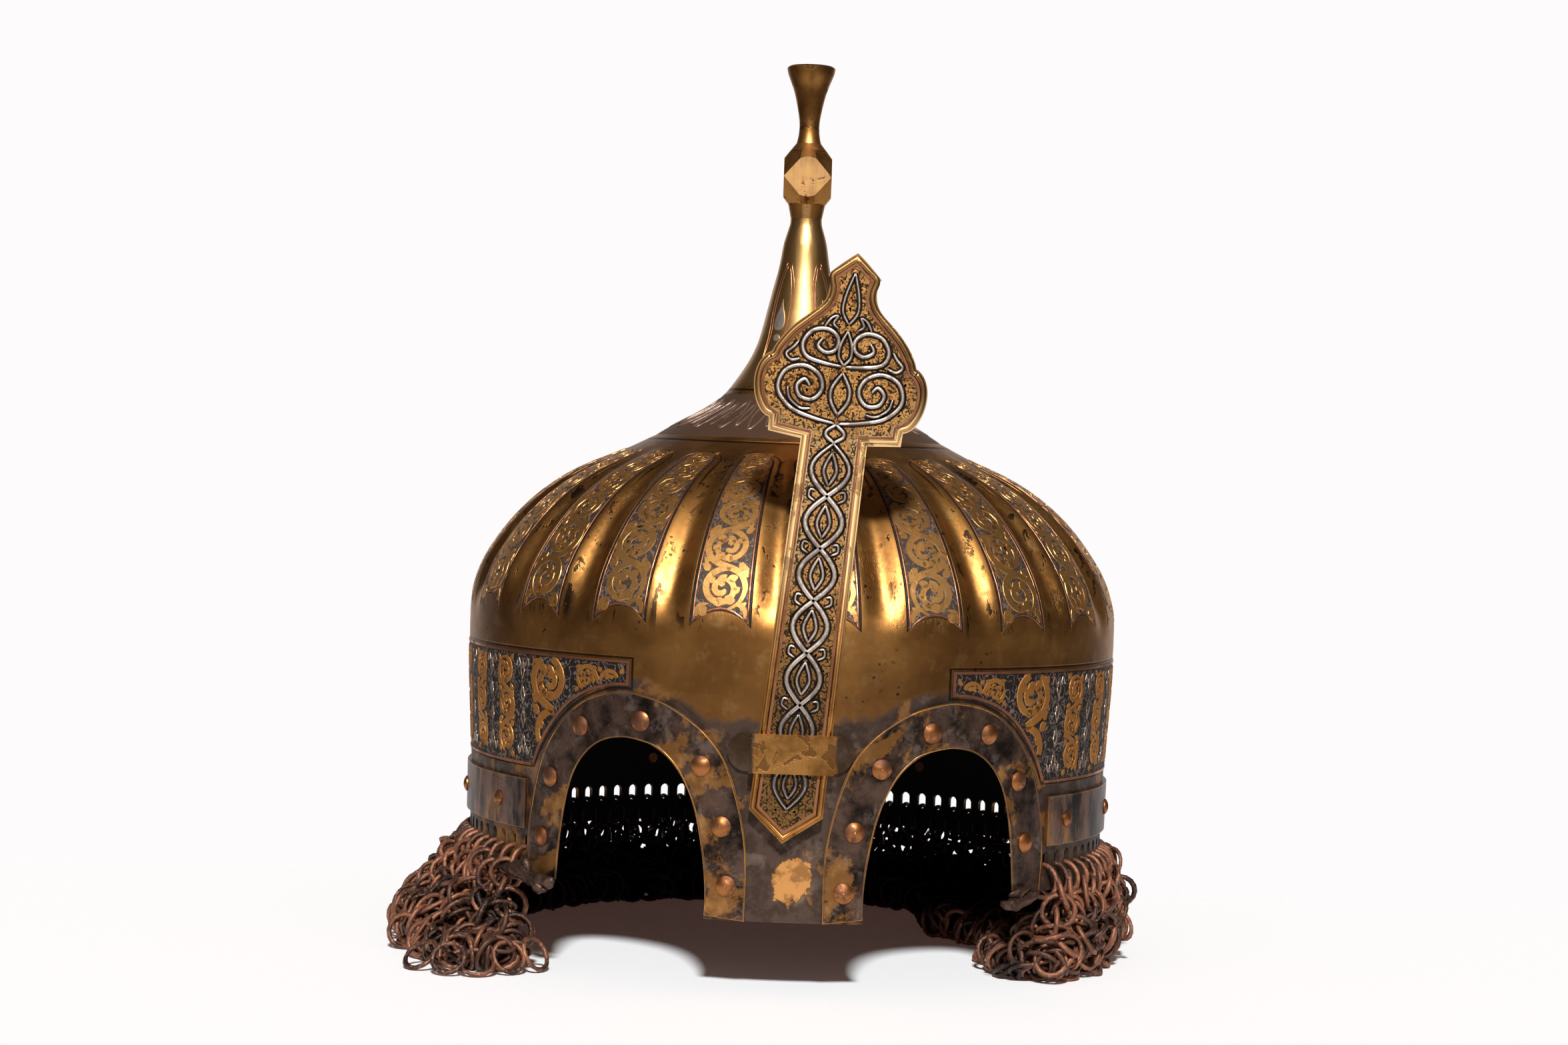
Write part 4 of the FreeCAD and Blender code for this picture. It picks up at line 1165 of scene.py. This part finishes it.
def head_volutes():
    """Two pairs of volutes with a bud between them and a lancet in the point, alike on both sides."""
    lower = [(0.6, 133.4), (7.5, 134.4), (15.0, 136.8), (19.6, 142.2), (18.0, 148.2), (12.4, 150.4), (7.4, 148.2),
             (5.8, 143.8), (8.4, 140.2), (12.4, 140.6), (13.8, 143.9), (11.6, 146.2), (9.8, 144.4)]
    upper = [(0.6, 151.4), (6.4, 151.9), (12.0, 153.4), (13.6, 157.4), (11.0, 161.6), (6.2, 162.6), (2.8, 160.2),
             (3.0, 156.6), (6.0, 155.2), (8.8, 157.0), (7.6, 159.4)]
    bud = [(0.0, 136.2), (2.6, 140.2), (2.8, 144.4), (0.0, 149.4)]
    lancet = [(0.0, 164.6), (2.4, 168.6), (2.0, 174.0), (0.0, 181.0)]
    side_leaf = [(13.8, 152.4), (16.6, 151.6), (18.4, 153.4), (16.4, 155.6), (15.0, 157.6)]
    shoulder = [(7.4, 163.4), (5.6, 166.2), (3.6, 167.0), (4.8, 164.6), (3.0, 163.0)]
    foot_leaf = [(8.6, 137.2), (12.0, 137.0), (15.6, 139.6), (16.6, 143.0)]
    heart = [(0.0, 151.8), (1.9, 154.4), (1.7, 158.4), (0.0, 162.6)]
    collar = [(0.0, 127.4), (2.6, 129.2), (2.6, 131.0), (0.0, 133.0)]
    lines = []
    for points, width in ((lower, 1.3), (upper, 1.3), (bud, 1.1), (lancet, 0.8), (side_leaf, 0.9),
                          (shoulder, 0.8), (foot_leaf, 0.8), (heart, 0.9), (collar, 1.1)):
        lines += [(smooth(side, 5), width) for side in mirrored_pair(points)]
    return lines


def stem_plait():
    """A two-strand plait down the stem with a small lancet in each eye and a leaf outside each crossing."""
    eye = (STEM_TOP - STEM_FOOT) / STEM_EYES
    steps = 10
    strand = []
    for step in range(STEM_EYES * steps + 1):
        y = STEM_FOOT + eye * step / steps
        reach = 4.9 + 1.2 * (y - STEM_FOOT) / (STEM_TOP - STEM_FOOT)
        strand.append((reach * math.sin(math.pi * step / steps), y))
    lines = [(side, 1.25) for side in mirrored_pair(strand)]
    for index in range(STEM_EYES):
        middle = STEM_FOOT + eye * (index + 0.5)
        lancet = [(0.0, middle - 5.0), (1.9, middle - 1.2), (1.6, middle + 1.8), (0.0, middle + 5.4)]
        lines += [(smooth(side, 4), 0.75) for side in mirrored_pair(lancet)]
        if index:
            crossing = STEM_FOOT + eye * index
            outer = [(3.6, crossing - 1.8), (5.6, crossing - 0.6), (5.4, crossing + 1.6), (3.8, crossing + 1.4)]
            lines += [(smooth(side, 4), 0.6) for side in mirrored_pair(outer)]
    return lines


def small_curls(outline, spacing, seed):
    """Little golden curls and leaves that fill an outline."""
    rng = random.Random(seed)
    xs = [x for x, _ in outline]
    ys = [y for _, y in outline]
    strokes = []
    y = min(ys)
    row = 0
    while y < max(ys):
        x = min(xs) + (row % 2) * spacing / 2
        while x < max(xs):
            cx = x + rng.uniform(-0.4, 0.4)
            cy = y + rng.uniform(-0.4, 0.4)
            reach = rng.uniform(0.80, 1.15) * spacing * 0.44
            turn = rng.uniform(0, 360)
            sweep = rng.choice((-1, 1)) * rng.uniform(200, 330)
            found = all(inside_outline(outline, cx + reach * dx, cy + reach * dy)
                        for dx, dy in ((1, 0), (-1, 0), (0, 1), (0, -1)))
            if found:
                strokes.append(curl((cx, cy), reach, turn, sweep, 0.45, 1.0, 0.8, 8))
                angle = math.radians(turn + 180)
                root = (cx + reach * math.cos(angle), cy + reach * math.sin(angle))
                tip = (cx + 1.75 * reach * math.cos(angle + 0.6), cy + 1.75 * reach * math.sin(angle + 0.6))
                if inside_outline(outline, *tip):
                    strokes.append(leaf(root, tip, 0.25, 1.15, 4))
            x += spacing
        y += spacing * 0.87
        row += 1
    return strokes


def nasal_ornament():
    outline = bar_outline()
    field = inset(outline, 3.3)
    half = [(max(x, 0.05), y) for x, y in field[:len(outline) // 2 + 1]]
    level = []
    for x, y in half:
        if not level or y > level[-1][1] + 0.05:
            level.append((x, y))
    flat_slab("nasal_dark_ground", level, -0.02, 0.06, CHASED_GROUND)
    border = Relief(0.3)
    border.draw([even(inset(outline, 1.35), 2.1)], on_bar, 0.4, closed=True)
    border.finish("nasal_border_ridge", BAR_BRASS, "nasal")
    golden = Relief(0.8, False)
    golden.draw(small_curls(inset(outline, 3.5), 2.5, 11), on_bar, 0.2)
    golden.finish("nasal_golden_curls", CURL_GOLD, "nasal")
    silver = Relief(0.45)
    grooves = Relief(0.9, False)
    for lines, start, end, tip, rim in ((head_volutes(), 1.2, 1.1, 0.6, 1.1), (stem_plait(), 1.5, 1.5, 0.5, 1.0)):
        for line, width in lines:
            silver.draw([tapered(line, width * start, width * end, tip)], on_bar, 0.5)
            grooves.draw([tapered(line, width * start + rim, width * end + rim, 0.8)], on_bar, 0.24)
    grooves.finish("nasal_silver_grooves", GROOVE, "nasal")
    silver.finish("nasal_silver_vine", LINE_SILVER, "nasal")


nasal_ornament()


# ---------------------------------------------------------------- bright edges of the eye plates

def plate_edges():
    edges = Relief()
    for node, sign in (("right_eye_plate", 1), ("left_eye_plate", -1)):
        surface = surface_of(node)
        for outline, inward in ((PLATE_ARCH, -1), (EYE_ARCH, 1)):
            points = smooth(outline, 5)
            spots = []
            for index, (x, z) in enumerate(points):
                ax, az = points[max(index - 1, 0)]
                bx, bz = points[min(index + 1, len(points) - 1)]
                length = math.hypot(bx - ax, bz - az)
                nx, nz = -(bz - az) / length, (bx - ax) / length
                px, pz = x + nx * EDGE_INSET * inward, z + nz * EDGE_INSET * inward
                point, normal = from_front(surface, sign * px, pz)
                if point is not None and normal.y < -0.2:
                    spots.append((point, normal))
            if len(spots) > 4:
                edges.stroke(spots, [0.5] * len(spots), 0.10)
    edges.finish("eye_plate_bright_edges", EDGE_GOLD, "helmet")


plate_edges()


# ---------------------------------------------------------------- broken ends of the rim's lip

LIP_ENDS = [
    ([(-100.5, -51.0, 33.6), (-96.5, -58.5, 33.2), (-92.0, -65.5, 32.6), (-88.0, -71.5, 31.8), (-84.5, -76.0, 30.8),
      (-81.0, -80.0, 30.0), (-77.0, -84.5, 29.6), (-74.5, -87.0, 30.6)], 2.3),
    ([(-88.5, -70.5, 34.8), (-86.5, -74.5, 33.0), (-83.5, -78.5, 31.4), (-80.0, -82.0, 27.8), (-77.0, -85.0, 27.2)],
     1.9),
    ([(-85.5, -75.0, 37.0), (-84.0, -77.5, 34.5), (-83.0, -79.0, 31.5)], 1.3),
    ([(70.5, -88.5, 28.4), (73.5, -86.0, 27.6), (77.0, -82.5, 28.2), (80.5, -78.5, 29.6), (83.5, -75.0, 31.0)], 2.1),
    ([(73.0, -86.5, 31.0), (76.5, -83.5, 31.6), (80.5, -79.0, 33.0)], 1.6),
]


def lip_ends():
    """Lumpy old metal under both cheeks, where the rim's rolled lip broke off."""
    points = []
    faces = []
    sides = 8
    for table, thick in LIP_ENDS:
        line = [Vector(table[0])]
        for first, second in zip(table, table[1:]):
            line += [Vector(first).lerp(Vector(second), step / 4) for step in range(1, 5)]
        base = len(points)
        last = len(line) - 1
        for index, here in enumerate(line):
            along = (line[min(index + 1, last)] - line[max(index - 1, 0)]).normalized()
            across = along.cross(UP).normalized()
            up = across.cross(along)
            taper = min(1.0, 0.35 + 0.65 * min(index, last - index) / 3)
            for side in range(sides):
                turn = 2 * math.pi * side / sides
                way = across * math.cos(turn) + up * math.sin(turn)
                lump = lumps.noise(here * 0.45 + way * 0.9) + 0.5 * lumps.noise(here * 1.3)
                reach = thick * taper * (1.0 + 0.55 * lump)
                points.append((here + way * reach) * MM)
        for index in range(last):
            for side in range(sides):
                other = (side + 1) % sides
                here, there = base + index * sides, base + (index + 1) * sides
                faces.append((here + side, here + other, there + other, there + side))
        faces.append(tuple(base + side for side in reversed(range(sides))))
        faces.append(tuple(base + last * sides + side for side in range(sides)))
    piece = solid_piece("broken_lip_ends", points, faces, SOLDER, soft=True)
    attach(piece, "helmet")


lip_ends()


# ---------------------------------------------------------------- mail

def ring_scatter():
    """Geometry node tree: one iron ring on every point, turned by the point's own turn."""
    tree = bpy.data.node_groups.new("Iron rings", "GeometryNodeTree")
    face = tree.interface
    face.new_socket("Points", in_out="INPUT", socket_type="NodeSocketGeometry")
    for label, value in (("Ring radius", IRON_RING_RADIUS * MM), ("Wire radius", IRON_WIRE_RADIUS * MM)):
        face.new_socket(label, in_out="INPUT", socket_type="NodeSocketFloat").default_value = value
    for label, value in (("Ring steps", 16), ("Wire sides", 4)):
        face.new_socket(label, in_out="INPUT", socket_type="NodeSocketInt").default_value = value
    face.new_socket("Finish", in_out="INPUT", socket_type="NodeSocketMaterial")
    face.new_socket("Rings", in_out="OUTPUT", socket_type="NodeSocketGeometry")
    start = tree.nodes.new("NodeGroupInput").outputs
    end = tree.nodes.new("NodeGroupOutput")
    path = put(tree, "GeometryNodeCurvePrimitiveCircle", {"Resolution": start["Ring steps"],
                                                          "Radius": start["Ring radius"]})
    section = put(tree, "GeometryNodeCurvePrimitiveCircle", {"Resolution": start["Wire sides"],
                                                             "Radius": start["Wire radius"]})
    ring = put(tree, "GeometryNodeCurveToMesh", {"Curve": path.outputs["Curve"],
                                                 "Profile Curve": section.outputs["Curve"]})
    turn = put(tree, "GeometryNodeInputNamedAttribute", {"Name": "turn"}, data_type="FLOAT_VECTOR")
    size = put(tree, "GeometryNodeInputNamedAttribute", {"Name": "size"}, data_type="FLOAT")
    spin = put(tree, "FunctionNodeEulerToRotation", {0: turn.outputs["Attribute"]})
    placed = put(tree, "GeometryNodeInstanceOnPoints", {"Points": start["Points"], "Instance": ring.outputs[0],
                                                        "Rotation": spin.outputs[0],
                                                        "Scale": size.outputs["Attribute"]})
    made = put(tree, "GeometryNodeRealizeInstances", {0: placed.outputs[0]})
    soft = put(tree, "GeometryNodeSetShadeSmooth", {0: made.outputs[0]})
    done = put(tree, "GeometryNodeSetMaterial", {0: soft.outputs[0], "Material": start["Finish"]})
    tree.links.new(done.outputs[0], end.inputs[0])
    return tree


RING_TREE = ring_scatter()


def rings_piece(name, rings, material):
    """One mesh of rings from (place in mm, axis, size) records."""
    mesh = bpy.data.meshes.new(name + "_points")
    mesh.from_pydata([tuple(place * MM) for place, _, _ in rings], [], [])
    turns = []
    for _, axis, _ in rings:
        turns += axis.to_track_quat("Z", "Y").to_euler("XYZ")[:]
    mesh.attributes.new("turn", "FLOAT_VECTOR", "POINT").data.foreach_set("vector", turns)
    mesh.attributes.new("size", "FLOAT", "POINT").data.foreach_set("value", [size for _, _, size in rings])
    holder = bpy.data.objects.new(name, mesh)
    bpy.context.scene.collection.objects.link(holder)
    modifier = holder.modifiers.new("Rings", "NODES")
    modifier.node_group = RING_TREE
    for item in RING_TREE.interface.items_tree:
        if item.in_out == "INPUT" and item.name == "Finish":
            modifier[item.identifier] = material
    graph = bpy.context.evaluated_depsgraph_get()
    made = bpy.data.meshes.new_from_object(holder.evaluated_get(graph))
    made.name = name
    holder.modifiers.remove(modifier)
    holder.data = made
    shape = bmesh.new()
    shape.from_mesh(made)
    if shape.calc_volume(signed=True) < 0:
        bmesh.ops.reverse_faces(shape, faces=shape.faces)
        shape.to_mesh(made)
    shape.free()
    return holder


def heap_profile(angle):
    """Points and outward directions, in mm, over the heap in the upright plane at an angle, outside to
    inside."""
    angles, *columns = zip(*MAIL_STATIONS)
    inner, outer, shoulder, shoulder_z, roll_z, neck_z = [float(np.interp(angle, angles, column))
                                                          for column in columns]
    outline = smooth([(outer - 1.0, 0.5), ((shoulder + outer) / 2 + 6.0, shoulder_z * 0.45), (shoulder, shoulder_z),
                      (111.5, neck_z), (inner + (107.0 - inner) * 0.35, roll_z), (inner, roll_z * 0.45),
                      (inner + 0.5, 0.5)], 8)
    radial, _ = directions(angle)
    spots = []
    for (ar, az), (br, bz) in zip(outline, outline[1:]):
        length = math.hypot(br - ar, bz - az)
        out = radial * ((bz - az) / length) + UP * ((ar - br) / length)
        spots.append((radial * ar + UP * az, out))
    return spots


def along_profile(spots, length):
    """The point and outward direction at a length in mm along a profile."""
    for (here, first), (there, second) in zip(spots, spots[1:]):
        run = (there - here).length
        if length <= run:
            share = length / max(run, 0.001)
            return here.lerp(there, share), first.lerp(second, share).normalized()
        length -= run
    return None, None


def ring_record(rng, place, axis, size=1.0):
    """One ring: its centre in mm, kept above the floor, its axis and its size."""
    axis = axis.normalized()
    reach = IRON_RING_RADIUS * size * math.sqrt(max(0.0, 1 - axis.z * axis.z)) + 0.9
    return Vector((place.x, place.y, max(place.z, reach + 0.05))), axis, size * rng.uniform(0.95, 1.06)


def mail_side(angle):
    return "left_mail" if angle > MAIL_LEFT_FROM else "right_mail" if angle < MAIL_RIGHT_TO else "back_mail"


def mail_rings():
    """Rings laid over the heap in three layers, rows of rings between heap and rim, and stray ones."""
    rng = random.Random(21)
    pieces = {side + end: [] for end in ("", "_under") for side in ("left_mail", "back_mail", "right_mail")}
    for depth, spread, jitter, along_step, round_step, end in MAIL_LAYERS:
        angle = MAIL_FIRST
        column = 0
        while angle < MAIL_LAST:
            profile = heap_profile(angle)
            _, around = directions(angle)
            sign = 1 if column % 2 else -1
            length = rng.uniform(0.0, 2.0) + (column % 2) * 5.4
            while True:
                spot, out = along_profile(profile, length)
                if spot is None:
                    break
                low = 1.0 if spot.z < 14 else 0.6
                loose = Vector([rng.uniform(-1, 1) for _ in range(3)])
                axis = out + around * (sign * rng.uniform(0.35, 0.95)) + loose * spread * low
                sunk = depth + rng.uniform(*jitter)
                place = spot - out * sunk + loose.cross(out) * 2.2 + around * rng.uniform(-1.8, 1.8)
                pieces[mail_side(angle) + end].append(ring_record(rng, place, axis, rng.uniform(0.97, 1.08)))
                length += along_step * rng.uniform(0.82, 1.2)
            angle += math.degrees(round_step / MAIL_RADIUS)
            column += 1
    # rings that hang between the rim and the heap
    step = (360.0 - 2 * RING_FIRST) / (RING_COUNT - 1)
    for row, high, reach, only_back in HANGING_ROWS:
        for index in range(RING_COUNT - 1):
            if only_back and not 115 < RING_FIRST + step * index < 245:
                continue
            if high == 27.0 and index % 3 == 0:
                # gaps that let light through, as in the photo
                continue
            angle = RING_FIRST + step * (index + row) + rng.uniform(-0.7, 0.7)
            radial, around = directions(angle)
            sign = 1 if row else -1
            axis = radial + around * sign * rng.uniform(0.4, 1.2) + UP * rng.uniform(-0.5, 0.6)
            place = radial * (reach + rng.uniform(-1.5, 1.2)) + UP * (high + rng.uniform(-1.5, 1.5))
            pieces[mail_side(angle)].append(ring_record(rng, place, axis))
    # stray rings that lie on the floor at the front of both heaps
    for x, y, lean, way in STRAY_RINGS:
        axis = directions(way)[0] * lean + UP
        side = "left_mail" if x < 0 else "right_mail"
        pieces[side].append(ring_record(rng, Vector((x, y, 0.0)), axis, 1.04))
    for name, rings in pieces.items():
        # the deeper layers of rings get painted shade
        piece = rings_piece(name, rings, SHADED_RUST if name.endswith("_under") else IRON_RUST)
        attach(piece, "helmet")
        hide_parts("mail_curtain")


mail_rings()


# ---------------------------------------------------------------- finishes of the solid nodes

def paint(node, material):
    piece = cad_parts[node]
    if not piece.material_slots:
        piece.data.materials.append(material)
    for slot in piece.material_slots:
        slot.link = "OBJECT"
        slot.material = material


for node, material in (("skull", BOWL_BRASS), ("finial", FINIAL_BRASS), ("left_eye_plate", LEFT_PLATE),
                       ("right_eye_plate", RIGHT_PLATE), ("left_eye_rivets", RIVET_COPPER),
                       ("right_eye_rivets", RIVET_COPPER), ("rim_strap", STRAP_PATINA),
                       ("strap_rivets", RIVET_COPPER), ("nasal_bracket", BRACKET_BRASS),
                       ("nasal_bar", BAR_BRASS), ("nasal_copper_wire", LINE_COPPER),
                       ("side_band_copper_wire", LINE_COPPER), ("neck_silver_drops", LINE_SILVER),
                       ("hanging_rings", IRON_RUST)):
    paint(node, material)


# ---------------------------------------------------------------- floor, light and camera

def floor():
    material, tree, shader, place = new_finish("Pale floor")
    grain = noise(tree, place, 600.0, 3.0, 0.6)
    colour = blend_colour(tree, grain.rise(0.3, 0.7), rgb(0.865, 0.895, 0.91), rgb(0.88, 0.91, 0.92))
    settle(tree, shader, colour, 0.0, 0.85)
    # painted light: a faint warm glow of the floor lifts the helmet's shadow as bounced light would
    shader.inputs["Emission Color"].default_value = rgb(1.0, 0.52, 0.43)
    shader.inputs["Emission Strength"].default_value = 0.042
    # far from the helmet, and from 125 mm behind its axis, the floor runs over into the white backdrop; behind the
    # helmet this leaves out its shadow, as light from behind would
    x, y, _ = axes(tree, place)
    far = (x * x + y * y).root().rise(0.26, 0.52).most(y.rise(0.125, 0.17))
    clear = put(tree, "ShaderNodeBsdfTransparent")
    mixed = put(tree, "ShaderNodeMixShader", {0: far, 1: shader.outputs[0], 2: clear.outputs[0]})
    end = [node for node in tree.nodes if node.type == "OUTPUT_MATERIAL"][0]
    tree.links.new(mixed.outputs[0], end.inputs["Surface"])
    bpy.ops.mesh.primitive_circle_add(vertices=96, radius=0.75, fill_type="NGON")
    piece = bpy.context.object
    piece.name = "floor"
    piece.data.materials.append(material)


def light_room():
    """A white backdrop behind the helmet, a dim room in front of it and one lamp high in front."""
    world = bpy.data.worlds.new("Room")
    bpy.context.scene.world = world
    world.use_nodes = True
    tree = world.node_tree
    tree.nodes.clear()
    _, away, height = axes(tree, put(tree, "ShaderNodeTexCoord").outputs["Generated"])
    back = away.rise(0.70, 0.92)
    low = height.fall(0.20, 0.50)
    rays = tree.nodes.new("ShaderNodeLightPath").outputs
    seen = Field(tree, rays["Is Camera Ray"])
    glossy = Field(tree, rays["Is Glossy Ray"]).most(Field(tree, rays["Is Transmission Ray"]))
    share = seen.most(glossy * back * low)
    colour = blend_colour(tree, glossy, rgb(0.19, 0.150, 0.140), rgb(0.045, 0.038, 0.034))
    colour = blend_colour(tree, share, colour, rgb(0.985, 0.965, 0.972))
    back_node = put(tree, "ShaderNodeBackground", {"Color": colour, "Strength": 1.0})
    put(tree, "ShaderNodeOutputWorld", {"Surface": back_node.outputs[0]})
    lamp = bpy.data.lights.new("Key lamp", "SUN")
    lamp.energy = LAMP_POWER
    lamp.angle = math.radians(LAMP_SPREAD)
    lamp.color = (1.0, 1.0, 0.995)
    holder = bpy.data.objects.new("Key lamp", lamp)
    bpy.context.scene.collection.objects.link(holder)
    rise = math.radians(LAMP_RISE)
    way = Vector((0.03, -math.cos(rise), math.sin(rise)))
    holder.rotation_euler = way.to_track_quat("Z", "Y").to_euler()


def set_camera():
    lens = bpy.data.cameras.new("Camera")
    lens.lens = CAMERA_LENS
    lens.sensor_width = CAMERA_SENSOR
    lens.clip_start = 0.05
    lens.clip_end = 50.0
    camera = bpy.data.objects.new("Camera", lens)
    bpy.context.scene.collection.objects.link(camera)
    pitch = math.radians(CAMERA_DOWN)
    roll = math.radians(CAMERA_ROLL)
    ahead = Vector((0.0, math.cos(pitch), -math.sin(pitch)))
    right = Vector((1.0, 0.0, 0.0))
    up = Vector((0.0, math.sin(pitch), math.cos(pitch)))
    rolled_right = right * math.cos(roll) + up * math.sin(roll)
    rolled_up = up * math.cos(roll) - right * math.sin(roll)
    turn = Matrix((rolled_right, rolled_up, -ahead)).transposed()
    camera.matrix_world = Matrix.Translation(Vector(CAMERA_PLACE) * MM) @ turn.to_4x4()
    bpy.context.scene.camera = camera


floor()
light_room()
set_camera()
bpy.context.scene.view_settings.view_transform = "Standard"
